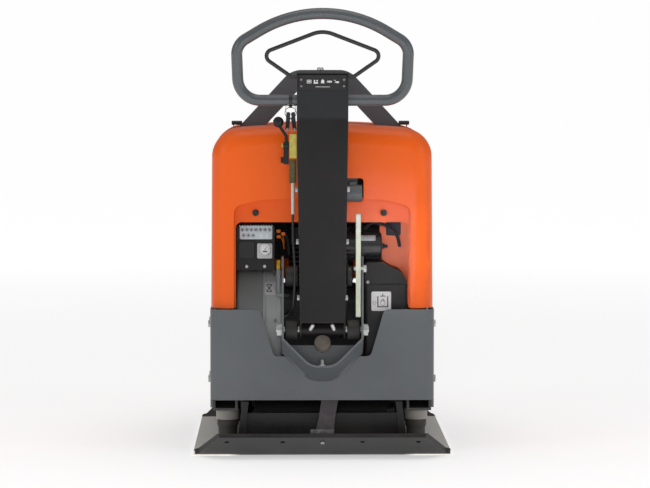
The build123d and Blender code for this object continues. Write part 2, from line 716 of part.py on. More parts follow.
def belt_guard():
    """A folded cover over the clutch pulley and the upper belt."""
    y, z = (CRANK_Y - 63, CRANK_Y + 63), (DECK_BOTTOM + DECK_THICKNESS, CRANK_Z + 63)
    cover = fillet(block((214, 266), y, z).edges().filter_by(Axis.X).group_by(Axis.Z)[-1], 62)
    inner = block((217, 263), (y[0] + 3, y[1] - 3), (z[0] - 5, z[1] - 3))
    cover -= fillet(inner.edges().filter_by(Axis.X).group_by(Axis.Z)[-1], 59)
    return cover - rod_x((200, 220), CRANK_Y, CRANK_Z, 34)


STARTER_Y, STARTER_Z = -262, 524


def starter_motor():
    """The electric starter, on a bracket above the crankcase."""
    body = rod_x((46, 152), STARTER_Y, STARTER_Z, 35)
    body = fillet(body.edges().filter_by(GeomType.CIRCLE), 5)
    neck = rod_x((22, 46), STARTER_Y, STARTER_Z, 26)
    foot = block((52, 66), (STARTER_Y, -232), (470, 500))
    stud = rod_x((152, 168), STARTER_Y, STARTER_Z, 4) + hexagon_x((154, 160), STARTER_Y, STARTER_Z, 13)
    return body + neck + foot + stud


TANK_X, TANK_Y = (108, 216), (-311, -201)


def hydraulic_tank():
    """The oil reservoir for the travel control."""
    body = block(TANK_X, TANK_Y, (190, 430))
    body = fillet(body.edges().filter_by(Axis.Z), 8)
    body -= block((TANK_X[0] + 4, TANK_X[1] - 4), (TANK_Y[0] + 4, TANK_Y[1] - 4), (194, 440))
    foot = block(
        (TANK_X[0] + 10, TANK_X[1] - 10), (TANK_Y[0] + 10, TANK_Y[1] - 10),
        (DECK_BOTTOM + DECK_THICKNESS, 190),
    )
    return body + foot


def tank_lid():
    """A domed lid that steps down towards the right."""
    points = [(108, 431), (216, 431), (213, 442), (200, 464), (176, 472), (156, 486), (108, 486)]
    return front_view(points, (TANK_Y[0] - 0.5, TANK_Y[1] + 1), [0, 3, 14, 18, 18, 16, 10])


BOX_X, BOX_Y, BOX_Z = (-216, -120), (-309, -240), (490, 578)


def control_box():
    """The electric box with fins on its top, on a shelf that rests on the fan shroud."""
    case = fillet(block(BOX_X, BOX_Y, BOX_Z).edges().filter_by(Axis.Y), 5)
    for number in range(11):
        x = BOX_X[0] + 6 + number * 7.8
        case += block((x, x + 4), (BOX_Y[0] + 6, BOX_Y[1] - 6), (BOX_Z[1] - 1, BOX_Z[1] + 5))
    case += block((-216, -120), (BOX_Y[0] + 3, BOX_Y[1]), (BOX_Z[0] - 6, BOX_Z[0]))
    case += block((-216, -120), (BOX_Y[0] + 3, BOX_Y[0] + 7), (BOX_Z[0] - 24, BOX_Z[0]))
    shelf = block((-214, -124), (BOX_Y[0] + 3, CRANK_Y + 20), (BOX_Z[0] - 24, BOX_Z[0] - 20))
    saddle = block((-214, -154), (CRANK_Y - 40, CRANK_Y + 20), (450, BOX_Z[0] - 22))
    return case + shelf + (saddle - rod_x((-220, -150), CRANK_Y, CRANK_Z, 146.1))


def hour_meter():
    """The square hour meter set in the face of the electric box."""
    bezel = block((-164, -126), (BOX_Y[0] - 4, BOX_Y[0]), (496, 534))
    bezel = fillet(bezel.edges().filter_by(Axis.Y), 4)
    dial = rod_y(-145, (BOX_Y[0] - 6, BOX_Y[0] - 4), 515, 14)
    return bezel + dial


DIPSTICK_X, DIPSTICK_Y = -111, -226


def dipstick():
    """The engine's yellow dipstick, which pulls straight up out of its tube."""
    grip = block((DIPSTICK_X - 5, DIPSTICK_X + 5), (DIPSTICK_Y - 4, DIPSTICK_Y + 4), (463, 486))
    return fillet(grip.edges().filter_by(Axis.Z), 3) + rod_z(DIPSTICK_X, DIPSTICK_Y, (402, 470), 2.5)


def dipstick_tube():
    """The dipstick's tube, on an elbow from the crankcase."""
    foot = block((DIPSTICK_X - 6, -82), (DIPSTICK_Y - 6, DIPSTICK_Y + 6), (392, 400))
    foot += block((-94, -82), (DIPSTICK_Y - 6, CRANK_Y - 70), (392, 400))
    tube = rod_z(DIPSTICK_X, DIPSTICK_Y, (400, 462), 6)
    return foot + tube - rod_z(DIPSTICK_X, DIPSTICK_Y, (398, 470), 2.6)


def muffler():
    """The exhaust silencer with its pipe out to the right."""
    can = fillet(rod_x((-40, 190), 180, 520, 58).edges().filter_by(GeomType.CIRCLE), 12)
    pipe = rod_y(20, (26, 140), 545, 16)
    tail = rod_z(150, 180, (560, 610), 16) - rod_z(150, 180, (590, 620), 13)
    strap = block((60, 74), (150, 210), (DECK_BOTTOM + DECK_THICKNESS, 480))
    return can + pipe + tail + strap


def fuel_tank():
    """The moulded fuel tank under the front hood, with its filler neck."""
    tank = block((-235, 235), (60, 250), (640, 760))
    tank = fillet(tank.edges().filter_by(Axis.Z), 36)
    tank = fillet(tank.edges().group_by(Axis.Z)[-1], 16)
    legs = block((-225, -205), (120, 180), (DECK_BOTTOM + DECK_THICKNESS, 642))
    return tank + rod_z(-120, 150, (755, 776), 24) + legs


def fuel_cap():
    cap = rod_z(-120, 150, (776, 796), 30)
    for step in range(12):
        angle = step * pi / 6
        cap -= rod_z(-120 + 31 * cos(angle), 150 + 31 * sin(angle), (770, 800), 3.5)
    return cap


def battery():
    case = fillet(
        block((-190, -20), (210, 330), (DECK_BOTTOM + DECK_THICKNESS, 330)).edges().filter_by(Axis.Z),
        5,
    )
    lid = block((-193, -17), (207, 333), (330, 346))
    posts = rod_z(-165, 235, (346, 360), 8) + rod_z(-45, 235, (346, 360), 8)
    return case + lid + posts


def air_filter():
    """The round air cleaner, on its inlet elbow."""
    can = fillet(rod_x((100, 200), -40, 520, 52).edges().filter_by(GeomType.CIRCLE), 8)
    neck = rod_x((78, 102), -40, 545, 16)
    return can + neck


def limit_straps():
    """Webbing straps that hold the frame down to the base plate, front and rear."""
    edge = -340
    strap = side_view(
        [(-352, 40), (-346, 40), (edge, 150), (edge, 166), (edge - 6, 166), (edge - 6, 150)],
        (-26, 26),
    )
    return group([strap, mirror(strap, about=Plane.XZ)])


def strap_clamps():
    """Clamp bars and bolts that hold the straps' lower ends."""
    bar = block((-30, 30), (-344, -322), (50, 56)) + block((-30, 30), (-358, -353), (50, 66))
    bar += block((-30, -27), (-358, -322), (50, 56)) + block((27, 30), (-358, -322), (50, 56))
    bolt = rod_y(-4, (-365, -358), 58, 7)
    clamp = bar + bolt
    return group([clamp, mirror(clamp, about=Plane.XZ)])


# ---------------------------------------------------------------- handle
BEAM_FACE_FOOT_Y, BEAM_FACE_KNEE_Y, BEAM_FACE_TOP_Y = -428, -416, -436
BEAM_BACK_Y = -368


def beam_side(shift):
    """The beam seen from the side, with its operator face moved inwards by a sheet's thickness."""
    return [
        (BEAM_FACE_FOOT_Y + shift, BEAM_FOOT_Z + 42), (BEAM_FACE_KNEE_Y + shift, BEAM_KNEE_Z),
        (BEAM_FACE_TOP_Y + shift, BEAM_TOP_Z), (BEAM_BACK_Y - 16, BEAM_TOP_Z), (BEAM_BACK_Y, BEAM_KNEE_Z),
        (BEAM_BACK_Y, BEAM_FOOT_Z), (-402, BEAM_FOOT_Z),
    ]


def beam_front(inset):
    top, foot = BEAM_TOP_HALF_WIDTH - inset, BEAM_FOOT_HALF_WIDTH - inset
    return [
        (-foot, 250), (-foot, 330), (-top, BEAM_KNEE_Z), (-top, 1000), (top, 1000),
        (top, BEAM_KNEE_Z), (foot, 330), (foot, 250),
    ]


def handle_beam():
    """A channel folded from sheet, open towards the machine, tapering to the pivot."""
    width = (-100, 100)
    outside = side_view(beam_side(0), width, [0, 60, 3, 3, 40, 16, 16])
    outside &= front_view(beam_front(0), (-470, -330))
    hollow = side_view(
        [(y + (0 if y < -400 else 20), z + (10 if z > 950 else 0)) for y, z in beam_side(BEAM_WALL)],
        width,
    )
    hollow += block(width, (-500, -340), (200, 342))
    hollow &= front_view(beam_front(BEAM_WALL), (-470, -330))
    beam = outside - hollow + pivot_tube()
    beam -= rod_x(width, PIVOT_Y, PIVOT_Z, 10.05)
    for z in BEAM_BOLT_HEIGHTS:
        beam -= rod_x(width, BEAM_BOLT_Y, z, 4.02)
    beam -= rod_x(width, LOOP_TUBE_Y, LOOP_TUBE_Z, LOOP_TUBE_RADIUS + 0.3)
    return beam - rod_x(width, CONTROL_AXIS_Y, CONTROL_AXIS_Z, 5.4)


def pivot_tube():
    """The sleeve welded through the beam's foot, which turns on the pivot shaft."""
    half = BEAM_FOOT_HALF_WIDTH
    return rod_x((-half - 2, half + 2), PIVOT_Y, PIVOT_Z, 15)


def handle_bushes():
    """Rubber drums between the beam and the yoke's cheeks, at the pivot and above it."""
    low = fillet(rod_x((62, 94), PIVOT_Y, PIVOT_Z, 25).edges().filter_by(GeomType.CIRCLE), 4)
    low -= rod_x((50, 100), PIVOT_Y, PIVOT_Z, 10.1)
    left = fillet(rod_x((-94, -61), UPPER_BUSH_Y, UPPER_BUSH_Z, 25).edges().filter_by(GeomType.CIRCLE), 4)
    right = fillet(rod_x((61, 75), UPPER_BUSH_Y, UPPER_BUSH_Z, 25).edges().filter_by(GeomType.CIRCLE), 4)
    return group([both_sides(low), left, right])


def handle_loop():
    """The operator's grip, one bent tube with both ends inside the beam."""
    side, foot, corner, apex = 213, LOOP_TUBE_Z, 1034, 1162
    lean = tan(radians(5))

    def at(x, z):
        return (x, LOOP_TUBE_Y - (z - foot) * lean, z)

    points = [
        at(-8, foot), at(-side + 4, foot), at(-side - 1, corner), at(0, apex), at(side + 1, corner),
        at(side - 4, foot), at(8, foot),
    ]
    return bent_bar(points, [56, 44, 308, 44, 56], LOOP_TUBE_RADIUS)


def console():
    """The control panel on the beam's top, with its side cheeks and cap."""
    tilt = degrees(atan2(BEAM_FACE_KNEE_Y - BEAM_FACE_TOP_Y, BEAM_TOP_Z - BEAM_KNEE_Z))
    panel = block((-58, 58), (-1.5, 0), (-40, -2))
    panel = Pos(0, BEAM_FACE_TOP_Y, BEAM_TOP_Z) * Rot(tilt, 0, 0) * panel
    cap = block((-64, 64), (-437, -385), (BEAM_TOP_Z, BEAM_TOP_Z + 3))
    return group([panel, fillet(cap.edges().filter_by(Axis.Z), 4)])


def control_loop():
    """The travel lever: one thin bent rod that rocks about the top of the beam."""
    lean = tan(radians(3))

    def at(x, z):
        return (x, CONTROL_AXIS_Y - (z - CONTROL_AXIS_Z) * lean, z)

    points = [
        at(-55, CONTROL_AXIS_Z), at(-78, CONTROL_AXIS_Z), at(-157, 1010), at(0, 1070), at(157, 1010),
        at(78, CONTROL_AXIS_Z), at(55, CONTROL_AXIS_Z),
    ]
    return bent_bar(points, [14, 16, 70, 16, 14], 5)


def control_valve():
    """The travel lever's rocker shaft and the pump that it works, inside the beam."""
    y = -389
    pump = fillet(rod_z(0, y, (700, 850), 21).edges().filter_by(GeomType.CIRCLE), 4)
    return pump + rod_z(0, y, (850, 880), 9) + block((-58, 58), (y - 8, y + 8), (690, 700))


def throttle_bracket():
    """A plated angle bolted to the beam's left side, with the cable's clamp and ferrule."""
    low, high = 752, 812
    face = block((-82.5, -64.5), (-412, -409.5), (low, high))
    inner = block((-67, -64.5), (-412, -384), (low, high)) + block((-67, -64.5), (-412, -404), (694, low))
    outer = block((-82.5, -80), (-412, -388), (low, high)) - rod_x(
        (-90, -70), THROTTLE_AXIS_Y, THROTTLE_AXIS_Z, 4.05,
    )
    bolt = rod_x((-98, -77), THROTTLE_AXIS_Y, THROTTLE_AXIS_Z, 4)
    bolt += hexagon_x((-102, -98), THROTTLE_AXIS_Y, THROTTLE_AXIS_Z, 10)
    bolt += hexagon_x((-80, -75), THROTTLE_AXIS_Y, THROTTLE_AXIS_Z, 10)
    clamp = fillet(block((-83, -67.2), (-409, -394), (690, 747)).edges().filter_by(Axis.Z), 3)
    ferrule = rod_z(CABLE_X, CABLE_Y, (612, 690), 4.5)
    return group([face + inner + outer, bolt, clamp, ferrule])


def throttle_lever():
    """A cranked lever with a ball knob."""
    y, z = THROTTLE_AXIS_Y, THROTTLE_AXIS_Z
    lever = block((-97, -84), (y - 4, y + 4), (z - 47, z)) + block(
        (-104, -97), (y - 3, y + 3), (z - 44, z - 29),
    )
    lever += rod_x((-97.5, -83), y, z, 9)
    lever += front_view(
        [(-94, z), (-86, z), (-86, z + 24), (-108, z + 56), (-114, z + 52), (-94, z + 22)],
        (y - 4, y + 3),
    )
    lever += Pos(-110, y, z + 58) * Rot(90, 0, 0) * Sphere(13.5)
    return lever - rod_x((-110, -80), y, z, 4.05)


CABLE_X, CABLE_Y = -74, -401


def lines(throttle, hose):
    """One stretch of the throttle cable and one of the hydraulic hose, as separate solids."""
    tubes = []
    for points, radius in ((throttle, 3), (hose, 6.5)):
        radii = [smooth_radius(points, i) for i in range(1, len(points) - 1)]
        tubes.append(bent_bar(points, radii, radius))
    return group(tubes)


def handle_lines():
    """The stretches that the handle carries, down to the fold."""
    throttle = [
        (CABLE_X, CABLE_Y, 612), (CABLE_X, CABLE_Y, 580), (CABLE_X + 1, CABLE_Y - 5, 545), (
            CABLE_X + 3, CABLE_Y - 13, 508,
        ),
        (CABLE_X + 5, CABLE_Y - 15, 470), (CABLE_X + 4, CABLE_Y - 14, 432), (CABLE_X + 2, CABLE_Y - 8, 402),
    ]
    hose = [
        (14, -389, 690), (14, -389, 655), (17, -386, 612), (21, -379, 570), (24, -369, 528),
        (26, -360, 486),
    ]
    return lines(throttle, hose)


def frame_lines():
    """The stretches that stay with the frame, from the fold to the engine."""
    throttle = [
        (CABLE_X + 2, CABLE_Y - 8, 402), (
            CABLE_X + 0.4, CABLE_Y - 3.2, 378,
        ), (-79, -379, 360), (-88, -347, 352), (-96, -313, 348),
        (-99, -278, 346), (-96, -244, 348), (-86.5, -211, 351), (-86.5, CRANK_Y - 105, 351),
    ]
    hose = [
        (26, -360, 486), (27.8, -351.9, 448.2), (29, -341, 410), (33, -328, 372), (39, -308, 340),
        (46, -283, 314), (52, -252, 296),
    ]
    return lines(throttle, hose)


def smooth_radius(points, i):
    """The largest arc that the two runs at a point of a cable's route allow."""
    before = Vector(*points[i]) - Vector(*points[i - 1])
    after = Vector(*points[i + 1]) - Vector(*points[i])
    turn = radians(before.get_angle(after))
    return 0.45 * min(before.length, after.length) / tan(turn / 2)


def keys():
    """A band that swivels on the grip tube, with a wire ring and two keys."""
    x, y = -79.5, LOOP_TUBE_Y
    band = rod_x((x - 4, x + 4), y, LOOP_TUBE_Z, LOOP_TUBE_RADIUS + 2.2)
    band -= rod_x((x - 9, x + 9), y, LOOP_TUBE_Z, LOOP_TUBE_RADIUS + 0.3)
    band += block((x - 3, x + 3), (y - 1.5, y + 1.5), (877, LOOP_TUBE_Z - LOOP_TUBE_RADIUS - 0.5))
    ring = Pos(x, y, 865) * Rot(90, 0, 0) * Torus(13.8, 0.9)
    blades = []
    for side, lean in ((-1, 9), (1, -12)):
        head = front_view([(-5, -30), (5, -30), (4, 0), (-4, 0)], (-1.6, 1.6), 2)
        blades.append(Pos(x + side * 4.5, y + side * 2.4, 852) * Rot(0, lean, 0) * head)
    return group([band + ring + Pos(x, y, 851.5) * Box(12, 8, 3), *blades])


def handle_bolts():
    """Bolt heads down both sides of the beam."""
    heads = []
    for z in BEAM_BOLT_HEIGHTS:
        half = BEAM_FOOT_HALF_WIDTH + (
            BEAM_TOP_HALF_WIDTH - BEAM_FOOT_HALF_WIDTH
        ) * (z - 330) / (BEAM_KNEE_Z - 330)
        heads.append(
            hexagon_x(
                (half + 0.3, half + 6.5), BEAM_BOLT_Y, z, 13,
            ) + rod_x((half - 5, half + 1), BEAM_BOLT_Y, z, 4)
        )
    return group([both_sides(head) for head in heads])


def lock_bar():
    """The plated bar that hooks the parked handle to the yoke."""
    low, high = LOCK_AXIS_Z - 121, LOCK_AXIS_Z + 137
    rear, fore = LOCK_AXIS_Y - 6.5, LOCK_AXIS_Y + 5.5
    bar = side_view(
        [
            (rear + 1, low), (fore, low), (fore + 1.5, LOCK_AXIS_Z), (fore, high), (rear + 1, high),
            (rear, LOCK_AXIS_Z),
        ],
        (83, 95), [3, 3, 60, 3, 3, 60],
    )
    return bar - rod_x((80, 100), LOCK_AXIS_Y, LOCK_AXIS_Z, 5.05)


def lock_bolt():
    bolt = rod_x((78, YOKE_HALF_WIDTH + 3), LOCK_AXIS_Y, LOCK_AXIS_Z, 5)
    return bolt + hexagon_x((YOKE_HALF_WIDTH, YOKE_HALF_WIDTH + 7), LOCK_AXIS_Y, LOCK_AXIS_Z, 17)


def frame_bolts():
    """Bolt heads on the bumpers' sides, with the bow's dome nut, the lock's bolt and the stop's screw."""
    heads = [lifting_bow_cap(), lock_bolt(), buffer_screw()]
    for y in (-300, -200, 200, 300):
        for z in (190, 330):
            heads.append(both_sides(hexagon_x((BODY_HALF_WIDTH, BODY_HALF_WIDTH + 6), y, z, 17)))
    return group(heads)


PARTS = {
    "base_plate": base_plate,
    "base_ribs": base_ribs,
    "exciter_housing": exciter_housing,
    "exciter_covers": exciter_covers,
    "exciter_bearings": exciter_bearings,
    "strap_clamps": strap_clamps,
    "rear_exciter_shaft": lambda: exciter_shaft(-1),
    "rear_exciter_gear": lambda: gear(-1),
    "exciter_pulley": lambda: grooved_pulley(SHAFT_HEIGHT, EXCITER_PULLEY_RADIUS, SHAFT_RADIUS, 8),
    "front_exciter_shaft": lambda: exciter_shaft(1),
    "front_exciter_gear": lambda: gear(1),
    "rubber_mounts": rubber_mounts,
    "limit_straps": limit_straps,
    "drive_belt": drive_belt,
    "deck_plate": deck_plate,
    "side_rails": side_rails,
    "rear_bumper": lambda: bumper(True),
    "front_bumper": front_bumper,
    "side_guards": side_guards,
    "lifting_bow": lifting_bow,
    "handle_yoke": handle_yoke,
    "pivot_shaft": pivot_shaft,
    "stop_buffer": stop_buffer,
    "latch_bar": latch_bar,
    "rear_hood": rear_hood,
    "front_hood": front_hood,
    "hood_latch_left": lambda: hood_latch(-1),
    "hood_latch_right": lambda: hood_latch(1),
    "engine_block": engine_block,
    "engine_cylinder": engine_cylinder,
    "fan_shroud": fan_shroud,
    "flywheel": flywheel,
    "crankshaft": crankshaft,
    "clutch_pulley": lambda: grooved_pulley(CRANK_Z, CLUTCH_RADIUS, 20, 10),
    "belt_guard": belt_guard,
    "starter_motor": starter_motor,
    "hydraulic_tank": hydraulic_tank,
    "tank_lid": tank_lid,
    "control_box": control_box,
    "hour_meter": hour_meter,
    "dipstick": dipstick,
    "muffler": muffler,
    "fuel_tank": fuel_tank,
    "fuel_cap": fuel_cap,
    "battery": battery,
    "air_filter": air_filter,
    "handle_beam": handle_beam,
    "handle_bushes": handle_bushes,
    "handle_loop": handle_loop,
    "console": console,
    "control_loop": control_loop,
    "control_valve": control_valve,
    "throttle_bracket": throttle_bracket,
    "throttle_lever": throttle_lever,
    "handle_lines": handle_lines,
    "frame_lines": frame_lines,
    "keys": keys,
    "handle_bolts": handle_bolts,
    "lock_bar": lock_bar,
    "frame_bolts": frame_bolts,
}

os.makedirs(PARTS_FOLDER, exist_ok=True)
for name, make in PARTS.items():
    export_step(make(), os.path.join(PARTS_FOLDER, name + ".step"))
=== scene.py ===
import math
from contextlib import contextmanager

import bmesh
import bpy
from mathutils import Matrix, Vector


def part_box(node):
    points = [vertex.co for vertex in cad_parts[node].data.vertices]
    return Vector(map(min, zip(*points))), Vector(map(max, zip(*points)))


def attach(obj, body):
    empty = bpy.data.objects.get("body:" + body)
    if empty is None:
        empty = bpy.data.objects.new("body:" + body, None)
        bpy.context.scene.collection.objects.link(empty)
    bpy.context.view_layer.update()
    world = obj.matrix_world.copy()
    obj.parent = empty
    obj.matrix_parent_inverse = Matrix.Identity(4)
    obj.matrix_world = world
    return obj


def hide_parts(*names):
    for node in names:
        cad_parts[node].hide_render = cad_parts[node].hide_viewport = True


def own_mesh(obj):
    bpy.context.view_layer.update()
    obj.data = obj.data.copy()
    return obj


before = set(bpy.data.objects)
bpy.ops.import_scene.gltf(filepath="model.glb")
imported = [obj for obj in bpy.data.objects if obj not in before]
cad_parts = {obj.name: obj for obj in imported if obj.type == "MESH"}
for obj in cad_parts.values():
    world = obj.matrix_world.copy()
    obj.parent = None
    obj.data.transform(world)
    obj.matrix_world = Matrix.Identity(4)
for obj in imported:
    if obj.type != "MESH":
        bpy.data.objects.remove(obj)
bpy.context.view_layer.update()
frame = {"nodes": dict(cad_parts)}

bl_info = {
    "name": "Plate compactor",
    "version": (1, 0, 0),
    "blender": (4, 5, 0),
    "location": "View3D > Sidebar > Compactor",
    "description": "Finishes and small parts of a reversible plate compactor",
    "category": "Add Mesh",
}

NODES = frame["nodes"]
MM = 0.001
SIDES = ((-1, "left"), (1, "right"))


# ---------------------------------------------------------------- settings
def colour(name, description, default):
    """A colour setting."""
    return bpy.props.FloatVectorProperty(
        name=name, description=description, subtype="COLOR", size=3, min=0, max=1, default=default)


def share(name, description, default):
    """A setting from none to all."""
    return bpy.props.FloatProperty(
        name=name, description=description, subtype="FACTOR", min=0, max=1, default=default)


def length(name, description, default):
    """A length setting, in metres."""
    return bpy.props.FloatProperty(name=name, description=description, unit="LENGTH", default=default)


class CompactorColours(bpy.types.PropertyGroup):
    """Colours of the compactor's main finishes."""

    hood: colour("Hood", "Moulded hood", (0.84, 0.112, 0.002))
    frame: colour("Frame", "Powder coat on rails, bumpers and yoke", (0.098, 0.108, 0.117))
    bow: colour("Lifting bow", "Powder coat on the bow", (0.074, 0.086, 0.096))
    beam: colour("Handle beam", "Black powder coat on the handle", (0.0120, 0.0105, 0.0108))
    plate: colour("Base plate", "Black paint on the plate and exciter", (0.0150, 0.0135, 0.0135))
    label: colour("Labels", "Printed labels' ground colour", (0.50, 0.56, 0.60))
    dust: share("Dust", "How much pale dust lies on upward faces", 0.45)
    wear: share("Wear", "How far paint has gone from sharp edges", 0.35)


class CompactorSizes(bpy.types.PropertyGroup):
    """Sizes of the small parts."""

    bolt_head: length("Bolt head", "Across the corners of a frame bolt's head", 0.0150)
    washer: length("Washer", "Outer diameter of a frame bolt's washer", 0.0180)
    label_thickness: length("Label thickness", "How far labels stand proud", 0.0005)
    wire: length("Wire", "Diameter of a single wire", 0.0032)
    bead: length("Weld bead", "Width of a weld bead", 0.0065)


# ---------------------------------------------------------------- shader groups
def new_group(name, inputs, outputs):
    """A shader group with a Vector, more inputs by their defaults and float outputs; and its ends."""
    group = bpy.data.node_groups.new(name, "ShaderNodeTree")
    group.interface.new_socket(name="Vector", in_out="INPUT", socket_type="NodeSocketVector")
    for label, default in inputs.items():
        kind = "NodeSocketVector" if isinstance(default, tuple) else "NodeSocketFloat"
        group.interface.new_socket(name=label, in_out="INPUT", socket_type=kind).default_value = default
    for label in outputs:
        group.interface.new_socket(name=label, in_out="OUTPUT", socket_type="NodeSocketFloat")
    given = group.nodes.new("NodeGroupInput").outputs
    return Wiring(group), given, group.nodes.new("NodeGroupOutput").inputs


class Wiring:
    """Adds and links nodes in one tree."""

    def __init__(self, tree):
        self.tree = tree

    def node(self, kind, inputs=None, **settings):
        made = self.tree.nodes.new(kind)
        for key, value in settings.items():
            setattr(made, key, value)
        for key, value in (inputs or {}).items():
            self.feed(made.inputs[key], value)
        return made

    def feed(self, socket, value):
        if isinstance(value, bpy.types.NodeSocket):
            self.tree.links.new(value, socket)
        else:
            socket.default_value = value

    def maths(self, operation, a, b=0.0, clamp=False):
        return self.node("ShaderNodeMath", {0: a, 1: b}, operation=operation, use_clamp=clamp).outputs[0]

    def noise(self, vector, scale, detail=2.0, rough=0.5):
        return self.node(
            "ShaderNodeTexNoise",
            {"Vector": vector, "Scale": scale, "Detail": detail, "Roughness": rough}).outputs["Fac"]

    def span(self, value, low, high, to_low=0.0, to_high=1.0):
        ends = {"Value": value, "From Min": low, "From Max": high, "To Min": to_low, "To Max": to_high}
        return self.node("ShaderNodeMapRange", ends).outputs[0]

    def bands(self, inputs, axis):
        made = self.node("ShaderNodeTexWave", inputs, wave_type="BANDS", bands_direction=axis)
        return made.outputs["Fac"]

    def blend(self, factor, a, b):
        made = self.node("ShaderNodeMix", data_type="RGBA", blend_type="MIX")
        self.feed(made.inputs[0], factor)
        self.feed(made.inputs[6], a if isinstance(a, bpy.types.NodeSocket) else (*a, 1.0))
        self.feed(made.inputs[7], b if isinstance(b, bpy.types.NodeSocket) else (*b, 1.0))
        return made.outputs[2]


def edge_wear_group():
    """Mask of edges where a coating has been knocked off."""
    w, given, out = new_group("edge_wear", {"Radius": 0.002, "Amount": 0.3}, ["Mask"])
    rounded = w.node("ShaderNodeBevel", {"Radius": given["Radius"]}, samples=4)
    flat = w.node("ShaderNodeNewGeometry")
    likeness = w.node(
        "ShaderNodeVectorMath", {0: rounded.outputs[0], 1: flat.outputs["Normal"]}, operation="DOT_PRODUCT")
    edge = w.span(likeness.outputs["Value"], 0.97, 0.80)
    patchy = w.span(w.noise(given["Vector"], 55.0, 5.0, 0.65), 0.42, 0.62)
    w.feed(out["Mask"], w.maths("MULTIPLY", w.maths("MULTIPLY", edge, patchy), given["Amount"], True))
    return w.tree


def dust_group():
    """Mask of pale dust on upward faces and near the ground."""
    w, given, out = new_group("dust_film", {"Amount": 0.4, "Scale": 9.0}, ["Mask"])
    normal = w.node("ShaderNodeSeparateXYZ", {0: w.node("ShaderNodeNewGeometry").outputs["Normal"]})
    place = w.node("ShaderNodeSeparateXYZ", {0: given["Vector"]})
    upward = w.span(normal.outputs["Z"], 0.35, 1.0)
    low = w.span(place.outputs["Z"], 0.34, 0.0, 0.0, 0.55)
    cloud = w.span(w.noise(given["Vector"], given["Scale"], 6.0, 0.62), 0.38, 0.72)
    speck = w.span(w.noise(given["Vector"], 420.0, 2.0), 0.50, 0.75)
    lying = w.maths("ADD", upward, low, True)
    spread = w.maths("MULTIPLY", lying, w.maths("ADD", cloud, w.maths("MULTIPLY", speck, 0.35), True))
    w.feed(out["Mask"], w.maths("MULTIPLY", spread, given["Amount"], True))
    return w.tree


def grain_group():
    """Fine surface grain: a height, and a slow change of tone."""
    w, given, out = new_group("surface_grain", {"Scale": 400.0, "Clouds": 6.0}, ["Height", "Tone"])
    w.feed(out["Height"], w.noise(given["Vector"], given["Scale"], 3.0, 0.6))
    w.feed(out["Tone"], w.span(w.noise(given["Vector"], given["Clouds"], 4.0, 0.55), 0.3, 0.7))
    return w.tree


def brushed_group():
    """Fine lines left by turning or brushing, along one direction."""
    w, given, out = new_group(
        "brushed_lines", {"Stretch": (1.0, 1.0, 1.0), "Scale": 300.0}, ["Lines", "Scratches"])
    drawn = w.node(
        "ShaderNodeVectorMath", {0: given["Vector"], 1: given["Stretch"]}, operation="MULTIPLY").outputs[0]
    w.feed(out["Lines"], w.noise(drawn, given["Scale"], 3.0, 0.6))
    w.feed(out["Scratches"], w.span(w.noise(drawn, 70.0, 2.0, 0.5), 0.60, 0.68))
    return w.tree


def weave_group():
    """Diagonal twill of a strap, on the strap's own UV map."""
    w, given, out = new_group("strap_weave", {"Threads": 60.0}, ["Height", "Thread"])
    turned = w.node(
        "ShaderNodeVectorRotate", {"Vector": given["Vector"], "Angle": math.radians(38)},
        rotation_type="Z_AXIS").outputs[0]
    across, along = (
        w.bands({"Vector": way, "Scale": given["Threads"], "Distortion": wobble}, axis)
        for way, wobble, axis in ((turned, 0.6, "X"), (given["Vector"], 0.3, "Y")))
    w.feed(out["Height"], w.maths("MAXIMUM", across, w.maths("MULTIPLY", along, 0.7)))
    w.feed(out["Thread"], across)
    return w.tree


GROUPS = {}


def shader_groups():
    """Every shared group, built once."""
    if not GROUPS:
        GROUPS.update(
            wear=edge_wear_group(), dust=dust_group(), grain=grain_group(), brushed=brushed_group(),
            weave=weave_group())
    return GROUPS


# ---------------------------------------------------------------- materials
WARM_DUST = (0.46, 0.42, 0.36)
BARE_STEEL = (0.52, 0.51, 0.49)
BEAM_BEND_SHADE_Z = 0.852
CONSOLE_FOOT_Z = 0.9195
CLAMP_TOP_Z = 0.7515
FERRULE_TOP_Z = 0.690
MOUNT_CAP_Z = 0.1115
PLATE_TOP_Z = 0.0128
PLATE_FLAT_Y = 0.355
RIBS_HALF_WIDTH = (0.205, 0.235)
SHROUD_FOLD_X = -0.1495
BLOCK_FACE_X = -0.098
FINISHES = {}


def blank_material(name):
    """A new material, its wiring and its shader node."""
    material = bpy.data.materials.new(name)
    material.use_nodes = True
    return material, Wiring(material.node_tree), material.node_tree.nodes["Principled BSDF"]


def place_group(w, kind, values):
    """One of the shared groups, placed in a tree with its inputs fed."""
    made = w.node("ShaderNodeGroup")
    made.node_tree = shader_groups()[kind]
    for key, value in values.items():
        w.feed(made.inputs[key], value)
    return made


def above(axis, limit):
    """A zone on the far side of a plane across an axis."""
    def mask(w, place):
        return w.maths("GREATER_THAN", w.node("ShaderNodeSeparateXYZ", {0: place}).outputs[axis], limit)
    return mask


def below(axis, limit):
    """A zone on the near side of a plane across an axis."""
    def mask(w, place):
        return w.maths("LESS_THAN", w.node("ShaderNodeSeparateXYZ", {0: place}).outputs[axis], limit)
    return mask


def painted_wing_reflection(w, place):
    """The zone of the plate's flat top outside its ribs, where a pale grey painted reflection is laid."""
    parts = w.node("ShaderNodeSeparateXYZ", {0: place}).outputs
    outside = w.span(w.maths("ABSOLUTE", parts["X"]), *RIBS_HALF_WIDTH)
    inner = w.maths("LESS_THAN", w.maths("ABSOLUTE", parts["Y"]), PLATE_FLAT_Y)
    low = w.maths("LESS_THAN", parts["Z"], PLATE_TOP_Z)
    return w.maths("MULTIPLY", w.maths("MULTIPLY", outside, inner), low)


